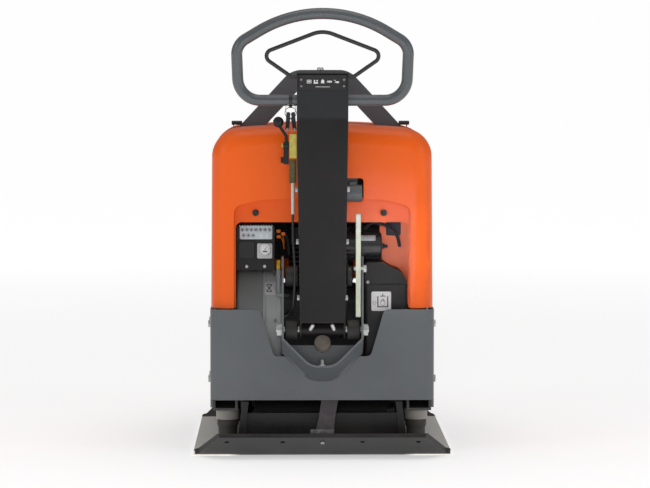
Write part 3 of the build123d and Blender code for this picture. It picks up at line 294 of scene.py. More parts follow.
def finish_material(
        name, colour, rough, metallic=0.0, tone=0.12, grain=400.0, bump=0.10, clouds=6.0, edge=0.0,
        bare=BARE_STEEL, dust=0.0, dust_colour=WARM_DUST, rounding=0.0008, coat=0.0, coat_rough=0.2,
        lines=None, specular=0.5, rough_swing=0.10, zones=()):
    """A coated, moulded, cast or turned surface: colour clouds, grain, worn edges and dust.

    Each of the zones is (mask, colour): the part inside the mask has another colour; on some finishes that
    colour is painted light or shade.
    """
    material, w, shader = blank_material(name + "_finish")
    place = w.node("ShaderNodeTexCoord").outputs["Object"]
    grained = place_group(w, "grain", {"Vector": place, "Scale": grain, "Clouds": clouds})
    shade = grained.outputs["Tone"]
    dark = tuple(c * (1 - tone) for c in colour)
    light = tuple(min(1.0, c * (1 + tone) + 0.003) for c in colour)
    skin = w.blend(shade, dark, light)
    for mask, other in zones:
        skin = w.blend(mask(w, place), skin, other)
    roughness = w.span(shade, 0.0, 1.0, max(0.03, rough - rough_swing), min(1.0, rough + rough_swing))
    height = grained.outputs["Height"]
    if lines is not None:
        drawn = place_group(w, "brushed", {"Vector": place, "Stretch": lines, "Scale": 260.0})
        height = drawn.outputs["Lines"]
        skin = w.blend(
            w.span(drawn.outputs["Lines"], 0.3, 0.7, 0.0, 0.45), skin, tuple(c * 0.62 for c in colour))
        roughness = w.maths("ADD", roughness, w.span(drawn.outputs["Scratches"], 0.0, 1.0, 0.0, 0.12), True)
    if edge > 0:
        worn = place_group(w, "wear", {"Vector": place, "Radius": 0.0022, "Amount": edge}).outputs["Mask"]
        skin = w.blend(worn, skin, bare)
        w.feed(shader.inputs["Metallic"], w.maths("MULTIPLY", worn, 0.75))
        roughness = w.maths("SUBTRACT", roughness, w.maths("MULTIPLY", worn, 0.12), True)
    else:
        shader.inputs["Metallic"].default_value = metallic
    if dust > 0:
        lying = place_group(w, "dust", {"Vector": place, "Amount": dust, "Scale": 9.0}).outputs["Mask"]
        skin = w.blend(lying, skin, dust_colour)
        roughness = w.maths("ADD", roughness, w.maths("MULTIPLY", lying, 0.45), True)
    w.feed(shader.inputs["Base Color"], skin)
    w.feed(shader.inputs["Roughness"], roughness)
    shader.inputs["Specular IOR Level"].default_value = specular
    shader.inputs["Coat Weight"].default_value = coat
    shader.inputs["Coat Roughness"].default_value = coat_rough
    soft = w.node("ShaderNodeBevel", {"Radius": rounding}, samples=4)
    relief = w.node(
        "ShaderNodeBump", {"Strength": bump, "Distance": 0.0006, "Height": height, "Normal": soft.outputs[0]})
    w.feed(shader.inputs["Normal"], relief.outputs[0])
    return material


def finish_rows():
    """Every finish, as the settings of finish_material; some colours come from the panel."""
    c = bpy.context.scene.compactor_colours
    ink = dict(rough=0.42, tone=0.05, grain=700.0, bump=0.05, rounding=0.0002, dust=0.06)
    return {
        "plate_paint": dict(
            colour=c.plate, rough=0.34, tone=0.22, grain=300.0, bump=0.12, clouds=11.0, edge=0.75 * c.wear,
            # the pale grey on the wings is a painted reflection of the bright surroundings, seen at a grazing
            # angle on the black plate
            dust=0.08 * c.dust, rounding=0.0014, specular=0.35, zones=[(painted_wing_reflection, (0.74, 0.71, 0.66))]),
        "frame_powder_coat": dict(
            colour=c.frame, rough=0.40, tone=0.08, grain=520.0, bump=0.16, edge=0.55 * c.wear,
            dust=0.35 * c.dust, rounding=0.0010, coat=0.10, coat_rough=0.35),
        "rail_paint": dict(
            colour=(0.030, 0.031, 0.033), rough=0.42, tone=0.15, grain=420.0, bump=0.16, edge=0.15, dust=0.25,
            zones=[(below("Z", MOUNT_CAP_Z), (0.30, 0.285, 0.26))]),
        "block_casting": dict(
            colour=(0.026, 0.026, 0.028), rough=0.50, tone=0.3, grain=170.0, bump=0.9, clouds=20.0, dust=0.2,
            rounding=0.0018, zones=[(below("X", BLOCK_FACE_X), (0.34, 0.36, 0.36))]),
        "bow_powder_coat": dict(
            colour=c.bow, rough=0.38, tone=0.08, grain=520.0, bump=0.16, edge=0.45 * c.wear,
            dust=0.25 * c.dust, rounding=0.0010),
        "tube_powder_coat": dict(
            colour=tuple(x * 0.80 for x in c.frame), rough=0.27, specular=0.7, tone=0.08, grain=520.0,
            bump=0.14, edge=0.3 * c.wear, dust=0.15 * c.dust),
        "beam_powder_coat": dict(
            colour=c.beam, rough=0.44, tone=0.12, grain=620.0, bump=0.20, edge=0.9 * c.wear,
            bare=(0.34, 0.33, 0.32), dust=0.05 * c.dust, rounding=0.0012, specular=0.3,
            zones=[
                # above the bend a cooler tone is painted shade, for the upper face turning away from the
                # light
                (above("Z", BEAM_BEND_SHADE_Z), (0.0115, 0.0125, 0.0150)),
                (above("Z", CONSOLE_FOOT_Z), (0.0065, 0.0065, 0.0068))]),
        "hood_plastic": dict(
            colour=c.hood, rough=0.36, tone=0.035, grain=700.0, bump=0.10, clouds=3.0, rounding=0.0016,
            coat=0.04, coat_rough=0.25, rough_swing=0.05, specular=0.34),
        "bright_zinc": dict(
            colour=(0.66, 0.67, 0.66), rough=0.30, metallic=0.9, tone=0.14, grain=300.0, bump=0.12,
            clouds=60.0, dust=0.12, lines=(1.0, 1.0, 6.0)),
        "oiled_steel": dict(
            colour=(0.30, 0.30, 0.31), rough=0.34, metallic=1.0, tone=0.2, lines=(8.0, 1.0, 1.0), bump=0.1),
        "pulley_iron": dict(
            colour=(0.19, 0.19, 0.20), rough=0.45, metallic=0.8, tone=0.25, lines=(9.0, 1.0, 1.0), bump=0.15,
            dust=0.2),
        "mount_rubber": dict(
            colour=(0.026, 0.025, 0.024), rough=0.62, tone=0.25, grain=260.0, bump=0.22, dust=0.30,
            specular=0.35),
        "buffer_rubber": dict(
            colour=(0.105, 0.088, 0.074), rough=0.68, tone=0.3, grain=200.0, bump=0.4, clouds=40.0, dust=0.35,
            specular=0.3),
        "latch_rubber": dict(
            colour=(0.020, 0.020, 0.021), rough=0.48, tone=0.2, grain=420.0, bump=0.18, dust=0.08),
        "belt_rubber": dict(
            colour=(0.022, 0.022, 0.022), rough=0.7, tone=0.3, lines=(1.0, 14.0, 14.0), bump=0.35, dust=0.2),
        "panel_plastic": dict(
            colour=(0.014, 0.0135, 0.014), rough=0.46, tone=0.1, grain=900.0, bump=0.35, dust=0.04,
            specular=0.35),
        "tank_plastic": dict(
            colour=(0.017, 0.0165, 0.017), rough=0.42, tone=0.18, grain=500.0, bump=0.25, dust=0.10,
            specular=0.4, rounding=0.0015),
        "engine_casting": dict(
            colour=(0.026, 0.026, 0.028), rough=0.50, tone=0.3, grain=170.0, bump=0.9, clouds=20.0, dust=0.3,
            rounding=0.0018),
        "shroud_enamel": dict(
            colour=(0.60, 0.63, 0.63), rough=0.44, tone=0.12, grain=350.0, bump=0.15, edge=0.15, dust=0.10,
            zones=[(below("X", SHROUD_FOLD_X), (0.34, 0.355, 0.35))]),
        "starter_enamel": dict(
            colour=(0.020, 0.020, 0.022), rough=0.24, tone=0.2, grain=320.0, bump=0.18, dust=0.10, coat=0.25),
        "rod_coat": dict(
            colour=(0.024, 0.024, 0.026), rough=0.34, tone=0.12, grain=520.0, bump=0.10, dust=0.05),
        "knob_plastic": dict(
            colour=(0.012, 0.012, 0.013), rough=0.32, tone=0.1, grain=300.0, bump=0.05, specular=0.3),
        "yellow_zinc": dict(
            colour=(0.50, 0.43, 0.09), rough=0.36, metallic=0.3, tone=0.22, grain=260.0, bump=0.14,
            clouds=75.0, lines=(1.0, 1.0, 5.0),
            zones=[
                (below("Z", CLAMP_TOP_Z), (0.016, 0.016, 0.017)),
                (below("Z", FERRULE_TOP_Z), (0.62, 0.62, 0.61))]),
        "green_zinc": dict(
            colour=(0.56, 0.59, 0.47), rough=0.40, metallic=0.1, tone=0.14, grain=260.0, bump=0.14,
            clouds=40.0, lines=(5.0, 5.0, 1.0)),
        "line_rubber": dict(
            colour=(0.020, 0.020, 0.021), rough=0.42, tone=0.15, lines=(9.0, 9.0, 1.0), bump=0.10, dust=0.06),
        "stick_plastic": dict(
            colour=(0.86, 0.50, 0.02), rough=0.34, tone=0.06, grain=500.0, bump=0.08, coat=0.2),
        "heat_stained_steel": dict(
            colour=(0.20, 0.175, 0.15), rough=0.42, metallic=0.8, tone=0.3, grain=160.0, bump=0.3,
            clouds=15.0, dust=0.2),
        "meter_silver": dict(
            colour=(0.48, 0.47, 0.48), rough=0.34, tone=0.06, grain=600.0, bump=0.1, metallic=0.1, coat=0.1),
        "white_ink": dict(ink, colour=(0.72, 0.73, 0.74)),
        "dark_ink": dict(ink, colour=(0.035, 0.042, 0.055)),
        "pale_label": dict(ink, colour=(0.80, 0.79, 0.80)),
        "label_ground": dict(ink, colour=c.label, rough=0.36),
        "plug_orange": dict(colour=(0.80, 0.20, 0.02), rough=0.36, tone=0.1, grain=500.0, bump=0.1),
        "wire_blue": dict(colour=(0.05, 0.16, 0.50), rough=0.42, tone=0.1, grain=500.0, bump=0.1),
        "union_brass": dict(
            colour=(0.60, 0.44, 0.16), rough=0.30, metallic=1.0, tone=0.2, lines=(6.0, 1.0, 1.0), bump=0.1),
        "slot_dark": dict(colour=(0.012, 0.016, 0.026), rough=0.42, tone=0.2, grain=400.0, bump=0.2),
    }


def finish(name):
    """The finish of that name, made at its first use."""
    if name not in FINISHES:
        FINISHES[name] = finish_material(name, **finish_rows()[name])
    return FINISHES[name]


NODE_FINISH = {
    "plate_paint": ["base_plate", "base_ribs", "exciter_housing", "exciter_covers"],
    "bright_zinc": ["strap_clamps", "frame_bolts", "handle_bolts", "pivot_shaft"],
    "oiled_steel": [
        "exciter_bearings", "rear_exciter_shaft", "front_exciter_shaft", "rear_exciter_gear",
        "front_exciter_gear", "crankshaft"],
    "pulley_iron": ["exciter_pulley", "clutch_pulley", "flywheel"],
    "mount_rubber": ["rubber_mounts", "handle_bushes"],
    "latch_rubber": ["hood_latch_left", "hood_latch_right"],
    "buffer_rubber": ["stop_buffer"],
    "belt_rubber": ["drive_belt"],
    "frame_powder_coat": [
        "deck_plate", "rear_bumper", "front_bumper", "side_guards", "handle_yoke", "latch_bar"],
    "bow_powder_coat": ["lifting_bow"],
    "rail_paint": ["side_rails"],
    "tube_powder_coat": ["handle_loop"],
    "beam_powder_coat": ["handle_beam", "belt_guard"],
    "panel_plastic": ["console", "control_box", "battery"],
    "hood_plastic": ["rear_hood", "front_hood"],
    "block_casting": ["engine_block"],
    "engine_casting": ["engine_cylinder"],
    "shroud_enamel": ["fan_shroud"],
    "starter_enamel": ["starter_motor"],
    "tank_plastic": ["hydraulic_tank", "tank_lid", "fuel_tank", "fuel_cap", "air_filter"],
    "meter_silver": ["hour_meter"],
    "heat_stained_steel": ["muffler"],
    "knob_plastic": ["throttle_lever"],
    "rod_coat": ["control_loop", "control_valve"],
    "yellow_zinc": ["throttle_bracket"],
    "green_zinc": ["lock_bar"],
    "stick_plastic": ["dipstick"],
    "line_rubber": ["handle_lines", "frame_lines", "limit_straps", "keys"],
}


# ---------------------------------------------------------------- modelling
def drop_selection():
    if bpy.context.mode != "OBJECT":
        bpy.ops.object.mode_set(mode="OBJECT")
    bpy.ops.object.select_all(action="DESELECT")


def started(add, name, **settings):
    """A new primitive, named, with its place already in its mesh."""
    drop_selection()
    add(**settings)
    piece = bpy.context.active_object
    piece.name = piece.data.name = name
    bpy.ops.object.transform_apply(location=True, rotation=True, scale=True)
    return piece


def cube(name, scale, **place):
    return started(bpy.ops.mesh.primitive_cube_add, name, size=1, scale=scale, **place)


def cylinder(name, vertices, radius, depth, **place):
    return started(
        bpy.ops.mesh.primitive_cylinder_add, name, vertices=vertices, radius=radius, depth=depth, **place)


def torus(name, ring, radius, rounds, sides, **place):
    return started(
        bpy.ops.mesh.primitive_torus_add, name, major_radius=ring, minor_radius=radius,
        major_segments=rounds, minor_segments=sides, **place)


def only(piece):
    drop_selection()
    piece.select_set(True)
    bpy.context.view_layer.objects.active = piece


def editing(piece, kind):
    """Goes into edit mode with nothing selected; gives the mesh."""
    only(piece)
    bpy.ops.object.mode_set(mode="EDIT")
    bpy.ops.mesh.select_mode(type=kind)
    bpy.ops.mesh.select_all(action="DESELECT")
    return bmesh.from_edit_mesh(piece.data)


@contextmanager
def faces(piece, test):
    """Edit mode with the faces selected whose centre and normal pass the test."""
    mesh = editing(piece, "FACE")
    for face in mesh.faces:
        face.select_set(bool(test(face.calc_center_median(), face.normal)))
    bmesh.update_edit_mesh(piece.data)
    yield
    bpy.ops.object.mode_set(mode="OBJECT")


@contextmanager
def edges(piece, test):
    """Edit mode with the edges selected whose two ends pass the test."""
    mesh = editing(piece, "EDGE")
    for edge in mesh.edges:
        edge.select_set(bool(test(edge.verts[0].co, edge.verts[1].co)))
    bmesh.update_edit_mesh(piece.data)
    yield
    bpy.ops.object.mode_set(mode="OBJECT")


def apply_modifier(piece, kind, **settings):
    only(piece)
    modifier = piece.modifiers.new(kind.lower(), kind)
    for key, value in settings.items():
        setattr(modifier, key, value)
    bpy.ops.object.modifier_apply(modifier=modifier.name)


def softened(piece, width):
    """Rounds the sharp edges of a piece."""
    apply_modifier(piece, "BEVEL", width=width, segments=2, limit_method="ANGLE")


def smooth(piece, angle=35):
    only(piece)
    bpy.ops.object.shade_smooth_by_angle(angle=math.radians(angle))


def joined(pieces, name):
    """Several pieces as one."""
    drop_selection()
    for piece in pieces:
        piece.select_set(True)
    bpy.context.view_layer.objects.active = pieces[0]
    if len(pieces) > 1:
        bpy.ops.object.join()
    whole = bpy.context.active_object
    whole.name = whole.data.name = name
    return whole


def copied(piece, name, place):
    """A copy with its own mesh, put in place by a matrix."""
    twin = piece.copy()
    twin.data = piece.data.copy()
    twin.name = twin.data.name = name
    bpy.context.scene.collection.objects.link(twin)
    twin.data.transform(place)
    return twin


def repeated(pattern, name, places, material, body):
    """Numbered copies of a pattern at some places, each fitted on a body."""
    for number, place in enumerate(places):
        fitted(copied(pattern, f"{name}_{number + 1}", place), material, body)


def discard(piece):
    mesh = piece.data
    bpy.data.objects.remove(piece)
    bpy.data.meshes.remove(mesh)


def fitted(piece, material, body):
    """Gives a piece its material and hangs it on its body."""
    piece.data.materials.clear()
    piece.data.materials.append(material)
    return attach(piece, body)


def facing(point, normal):
    """A matrix that takes +Z to a normal at a point, with +Y as near upright as it can be."""
    z = Vector(normal).normalized()
    up = Vector((0, 0, 1)) if abs(z.z) < 0.9 else Vector((0, 1, 0))
    x = up.cross(z).normalized()
    y = z.cross(x)
    turn = Matrix((x, y, z)).transposed().to_4x4()
    return Matrix.Translation(point) @ turn


def struck(x, z, nodes):
    """The first point and normal that a straight line from the operator's side meets on some nodes."""
    start, way = Vector((x, -1.2, z)), Vector((0, 1, 0))
    hits = []
    for node in nodes:
        hit, point, normal, _ = NODES[node].ray_cast(start, way)
        if hit:
            hits.append((point.copy(), normal.copy()))
    if not hits:
        raise RuntimeError(f"nothing of {nodes} at x {x:.3f}, z {z:.3f}")
    point, normal = min(hits, key=lambda found: (found[0] - start).length)
    return point, normal if normal.dot(way) < 0 else -normal


def seat(x, z, nodes):
    """The matrix that seats a small part where struck finds the surface."""
    return facing(*struck(x, z, nodes))


def rounded_plate(name, width, height, thickness, corner, at, normal):
    """A thin plate with round corners and a softened rim, lying on a surface."""
    plate = cube(name, (width, height, thickness), location=(0, 0, thickness / 2))
    with edges(plate, lambda a, b: abs(a.z - b.z) > thickness / 2):
        bpy.ops.mesh.bevel(offset=corner, segments=4)
    with faces(plate, lambda c, n: n.z > 0.9):
        bpy.ops.mesh.inset(thickness=min(0.0004, thickness * 0.6), depth=thickness * 0.3)
    plate.data.transform(facing(at, normal))
    smooth(plate)
    return plate


def hex_bolt(name, across, washer, stands):
    """A flanged bolt head on a washer, along +Z from the origin."""
    ring = cylinder(name + "_washer", 28, washer / 2, 0.0016, location=(0, 0, 0.0008))
    with faces(ring, lambda c, n: n.z > 0.9):
        bpy.ops.mesh.inset(thickness=0.0007, depth=0.0003)
    head = cylinder(name + "_head", 6, across / 2, stands, location=(0, 0, 0.0018 + stands / 2))
    with faces(head, lambda c, n: n.z > 0.9):
        bpy.ops.mesh.bevel(offset=across * 0.07, segments=2)
    with faces(head, lambda c, n: n.z > 0.95):
        bpy.ops.mesh.inset(thickness=across * 0.13, depth=-0.0006)
    bolt = joined([ring, head], name)
    smooth(bolt, 30)
    return bolt


def socket_screw(name, head):
    """A round screw head with a hexagonal recess, along +Z from the origin."""
    body = cylinder(name, 24, head / 2, head * 0.45, location=(0, 0, head * 0.225))
    with faces(body, lambda c, n: n.z > 0.9):
        bpy.ops.mesh.bevel(offset=head * 0.09, segments=3)
    with faces(body, lambda c, n: n.z > 0.95):
        bpy.ops.mesh.inset(thickness=head * 0.17)
        bpy.ops.mesh.extrude_region_move(TRANSFORM_OT_translate={"value": (0, 0, -head * 0.22)})
    smooth(body, 30)
    return body


def tube_along(name, points, diameter, body, material):
    """A wire or pipe on a smooth curve through its control points, as a mesh."""
    drop_selection()
    curve = bpy.data.curves.new(name, "CURVE")
    curve.dimensions = "3D"
    line = curve.splines.new("NURBS")
    line.points.add(len(points) - 1)
    for knot, point in zip(line.points, points):
        knot.co = (*[v * MM for v in point], 1.0)
    line.order_u = 3
    line.use_endpoint_u = True
    curve.bevel_depth = diameter / 2
    curve.bevel_resolution = 3
    curve.resolution_u = 10
    curve.use_fill_caps = True
    wire = bpy.data.objects.new(name, curve)
    bpy.context.scene.collection.objects.link(wire)
    only(wire)
    bpy.ops.object.convert(target="MESH")
    wire = bpy.context.active_object
    wire.name = wire.data.name = name
    smooth(wire, 60)
    return fitted(wire, material, body)


def weld_bead(name, start, end, width, body):
    """Overlapping ripples of a weld laid along a straight seam."""
    a, b = Vector(start) * MM, Vector(end) * MM
    pitch = width * 0.36
    ripple = started(bpy.ops.mesh.primitive_uv_sphere_add, name, segments=10, ring_count=6, radius=width / 2)
    for vertex in ripple.data.vertices:
        vertex.co.x *= 0.62
    run = (b - a).length
    apply_modifier(
        ripple, "ARRAY", count=max(2, int(run / pitch)), use_relative_offset=False, use_constant_offset=True,
        constant_offset_displace=(pitch, 0, 0))
    way = (b - a).normalized()
    side = way.orthogonal().normalized()
    turn = Matrix((way, side, way.cross(side))).transposed().to_4x4()
    ripple.data.transform(Matrix.Translation(a) @ turn)
    smooth(ripple, 80)
    return fitted(ripple, finish("frame_powder_coat"), body)


def icons(name, shapes, point, normal, body, material, lift=0.0008):
    """Plain printed marks: discs, rings and bars in the plane of a label, joined into one piece."""
    depth, line, flatness = 0.0003, 0.0004, 0.4
    made = []
    for kind, u, v, *size in shapes:
        at = (u * MM, v * MM, 0)
        if kind == "disc":
            mark = cylinder(name, 20, size[0] * MM, depth, location=at)
        elif kind == "ring":
            mark = torus(name, size[0] * MM, line, 24, 6, location=at)
            mark.data.transform(Matrix.Diagonal((1, 1, flatness, 1)))
        else:
            width, height, turn = size
            turned = (0, 0, math.radians(turn))
            mark = cube(name, (width * MM, height * MM, depth), location=at, rotation=turned)
        made.append(mark)
    whole = joined(made, name)
    whole.data.transform(facing(Vector(point) + Vector(normal) * lift, normal))
    return fitted(whole, material, body)


# ---------------------------------------------------------------- operators
class COMPACTOR_OT_finishes(bpy.types.Operator):
    """Give every part of the machine its finish"""

    bl_idname = "compactor.finishes"
    bl_label = "Finishes"

    def execute(self, context):
        for coat, names in NODE_FINISH.items():
            for name in names:
                node = NODES[name]
                if node.material_slots:
                    node.material_slots[0].material = finish(coat)
                else:
                    node.data.materials.append(finish(coat))
        bare = [n for n in NODES if not any(n in names for names in NODE_FINISH.values())]
        if bare:
            raise RuntimeError(f"no finish for {bare}")
        return {"FINISHED"}


class COMPACTOR_OT_bolts(bpy.types.Operator):
    """Add the frame's and engine bay's bolts, nuts and screws"""

    bl_idname = "compactor.bolts"
    bl_label = "Bolts"

    def execute(self, context):
        sizes = context.scene.compactor_sizes
        bolt = hex_bolt("bolt_pattern", sizes.bolt_head, sizes.washer, 0.0055)
        small = hex_bolt("small_bolt_pattern", 0.0072, 0.0086, 0.0036)
        screw = socket_screw("screw_pattern", 0.0100)
        wide = socket_screw("wide_screw_pattern", 0.0165)
        metal = finish("bright_zinc")
        rows = [
            ("box_bracket_bolt", [(-0.1906, 0.4757), (-0.1450, 0.4757)], ["control_box"]),
            ("tank_bolt", [(0.1160, 0.4360)], ["hydraulic_tank", "tank_lid"]),
            ("shroud_bolt", [(-0.2050, 0.3300), (-0.1180, 0.3300), (-0.1180, 0.4420)], ["fan_shroud"]),
        ]
        for name, places, nodes in rows:
            repeated(
                small, name, [seat(x, z, nodes) for x, z in places], metal, "frame")
        seats = [seat(x, 0.612, ["rear_hood"]) for x in (-0.168, 0.156)]
        repeated(wide, "pocket_screw", seats, finish("rod_coat"), "frame")
        for side, name in SIDES:
            where = facing(Vector((side * 0.0625, -0.396, 0.334)), (side, 0, 0))
            fitted(copied(bolt, f"beam_low_bolt_{name}", where), metal, "handle")
        point, normal = struck(0.0125, 0.0422, ["base_plate"])
        point.x = 0.0
        fitted(copied(screw, "plate_screw", facing(point, normal)), metal, "base")
        nut_seat = facing(Vector((0.1525, -0.262, 0.524)), (1, 0, 0))
        fitted(copied(small, "starter_nut", nut_seat), metal, "frame")
        for pattern in (bolt, small, screw, wide):
            discard(pattern)
        return {"FINISHED"}


class COMPACTOR_OT_welds(bpy.types.Operator):
    """Lay weld beads where the lifting bow's feet meet the frame, and along the rails"""

    bl_idname = "compactor.welds"
    bl_label = "Weld beads"

    def execute(self, context):
        width = context.scene.compactor_sizes.bead
        for side, name in SIDES:
            weld_bead(f"bow_foot_weld_{name}", (side * 222, -10, 169), (side * 264, -10, 169), width, "frame")
            weld_bead(f"rail_weld_{name}", (side * 214, -333, 161), (side * 214, -175, 161), width, "frame")
        return {"FINISHED"}


class COMPACTOR_OT_console_face(bpy.types.Operator):
    """Add the console's symbols, line and screws"""

    bl_idname = "compactor.console_face"
    bl_label = "Console face"

    def execute(self, context):
        white = finish("white_ink")
        figures = [
            [
                ("bar", 0, 3.6, 11, 1.4, 0), ("bar", 0, -3.6, 11, 1.4, 0), ("bar", -4.8, 0, 1.4, 7, 0),
                ("bar", 4.8, 0, 1.4, 7, 0), ("bar", 0, 0, 5.6, 2.4, 0)],
            [("bar", 0, -3.4, 11, 3.2, 0), ("bar", -3.6, 1.4, 3.2, 5.2, 0), ("bar", 3.0, 2.0, 3.8, 3.6, 45)],
            [("disc", 0, 0.6, 4.0), ("bar", 0, -3.4, 9.0, 2.0, 0), ("bar", 0, 4.6, 1.6, 3.4, 0)],
            [("bar", 0, 0, 11.5, 4.6, 0), ("disc", -4.4, 0, 2.4), ("disc", 4.4, 0, 2.4)],
            [
                ("bar", -3.2, 2.6, 5.0, 1.4, -30), ("bar", 3.4, -1.6, 6.4, 4.2, 0),
                ("bar", -1.6, -1.6, 4.0, 1.4, 40)],]
        panel = ["console", "handle_beam"]
        lift, pitch = 0.0003, 0.0168
        for number, shapes in enumerate(figures):
            point, normal = struck(pitch * (number - 2), 0.9425, panel)
            name = f"console_symbol_{number + 1}"
            icons(name, shapes, point, normal, "handle", white, lift)
        point, normal = struck(0.0, 0.9295, panel)
        icons(
            "console_line", [("bar", 0, 0, 36, 0.9, 0)], point, normal, "handle", white, lift)
        screw = socket_screw("console_screw_pattern", 0.0062)
        seats = [seat(x, z, panel) for z in (0.9475, 0.9315) for x in (-0.053, 0.053)]
        repeated(screw, "console_screw", seats, finish("oiled_steel"), "handle")
        discard(screw)
        return {"FINISHED"}


class COMPACTOR_OT_control_box_face(bpy.types.Operator):
    """Add the control box's symbol plate, cover and dial"""

    bl_idname = "compactor.control_box_face"
    bl_label = "Control box face"

    def execute(self, context):
        thickness = context.scene.compactor_sizes.label_thickness
        dark = finish("dark_ink")
        white = finish("white_ink")
        point, normal = struck(-0.1670, 0.5612, ["control_box"])
        label = rounded_plate("box_symbol_plate", 0.082, 0.0335, thickness, 0.003, point, normal)
        fitted(label, finish("label_ground"), "frame")
        shapes = []
        for column in range(7):
            u = -34.5 + column * 11.5
            shapes += [("ring", u, 7.6, 4.3), ("disc", u, 7.6, 2.3), ("bar", u, 7.6, 1.1, 7.0, 40 * column)]
        for column in range(3):
            u = -31.0 + column * 12.0
            shapes += [("ring", u, -6.8, 4.4), ("disc", u, -6.8, 2.4)]
        icons("box_symbols", shapes, point, normal, "frame", dark, lift=thickness * 1.6)
        outline = [
            ("bar", 21, -2.4, 26, 0.8, 0), ("bar", 21, -12.4, 26, 0.8, 0), ("bar", 8.4, -7.4, 0.8, 10, 0),
            ("bar", 33.6, -7.4, 0.8, 10, 0), ("disc", 14, -7.4, 2.6), ("disc", 27, -7.4, 2.6)]
        lift = thickness * 1.6
        icons("box_machine_symbol", outline, point, normal, "frame", white, lift)
        teeth = [("bar", -41 + 6.8 * k, 17.6, 2.6, 1.6, 0) for k in range(13)]
        icons("box_terminals", teeth, point, normal, "frame", white, lift=thickness * 1.4)
        point, normal = struck(-0.1905, 0.5180, ["control_box"])
        cover = rounded_plate("box_cover", 0.0400, 0.0430, 0.0035, 0.004, point, normal)
        fitted(cover, finish("tank_plastic"), "frame")
        point, normal = struck(-0.1443, 0.5192, ["hour_meter"])
        rim = torus("dial_rim", 0.0138, 0.0014, 40, 10)
        rim.data.transform(facing(point, normal))
        smooth(rim, 80)
        fitted(rim, finish("bright_zinc"), "frame")
        face = rounded_plate("dial_face", 0.0262, 0.0262, 0.0004, 0.0130, point, normal)
        fitted(face, white, "frame")
        reach = 9.8
        ticks = []
        for turn in range(-40, 221, 26):
            angle = math.radians(turn)
            ticks.append(("bar", reach * math.cos(angle), reach * math.sin(angle), 2.6, 0.6, turn))
        ticks += [("bar", 0, -5.4, 11.0, 3.4, 0), ("bar", 1.6, 2.4, 0.9, 9.0, -34), ("disc", 0, 0, 1.3)]
        icons("dial_marks", ticks, point, normal, "frame", dark, lift=0.0008)
        return {"FINISHED"}


class COMPACTOR_OT_bay_labels(bpy.types.Operator):
    """Add the plain symbol labels on the tank, fan shroud and starter"""

    bl_idname = "compactor.bay_labels"
    bl_label = "Engine bay labels"

    def execute(self, context):
        thickness = context.scene.compactor_sizes.label_thickness
        pale = finish("pale_label")
        dark = finish("dark_ink")
        crossed = [
            ("bar", -9, 0, 2.0, 24, 32), ("bar", -9, 0, 2.0, 24, -32), ("bar", -9, -11, 13, 2.0, 0),
            ("bar", -9, 11, 13, 2.0, 0), ("ring", 10, -2, 4.2)]
        drop = [
            ("bar", 4, -14, 27, 2.8, 0), ("bar", -8.5, -1, 2.8, 28, 0), ("bar", 16.5, -1, 2.8, 28, 0),
            ("ring", 4, -5.0, 6.0), ("bar", 1.4, 2.4, 1.8, 8.0, -24), ("bar", 6.6, 2.4, 1.8, 8.0, 24),
            ("bar", 4, 13, 14, 2.2, 0), ("bar", 4, 16, 2.4, 7, 0), ("ring", -17.0, -4, 4.0)]
        rows = [
            ("tank_label", 0.1500, 0.3870, 0.0500, 0.0490, ["hydraulic_tank"], drop),
            ("shroud_label", -0.1255, 0.4105, 0.0410, 0.0410, ["fan_shroud"], crossed),
        ]
        for name, x, z, width, height, nodes, shapes in rows:
            point, normal = struck(x, z, nodes)
            label = rounded_plate(name, width, height, thickness, 0.004, point, normal)
            fitted(label, pale, "frame")
            icons(name + "_symbol", shapes, point, normal, "frame", dark, lift=thickness * 1.6)
        point, normal = struck(0.1170, 0.5461, ["starter_motor"])
        label = rounded_plate("starter_label", 0.0385, 0.0160, thickness, 0.002, point, normal)
        fitted(label, finish("meter_silver"), "frame")
        return {"FINISHED"}


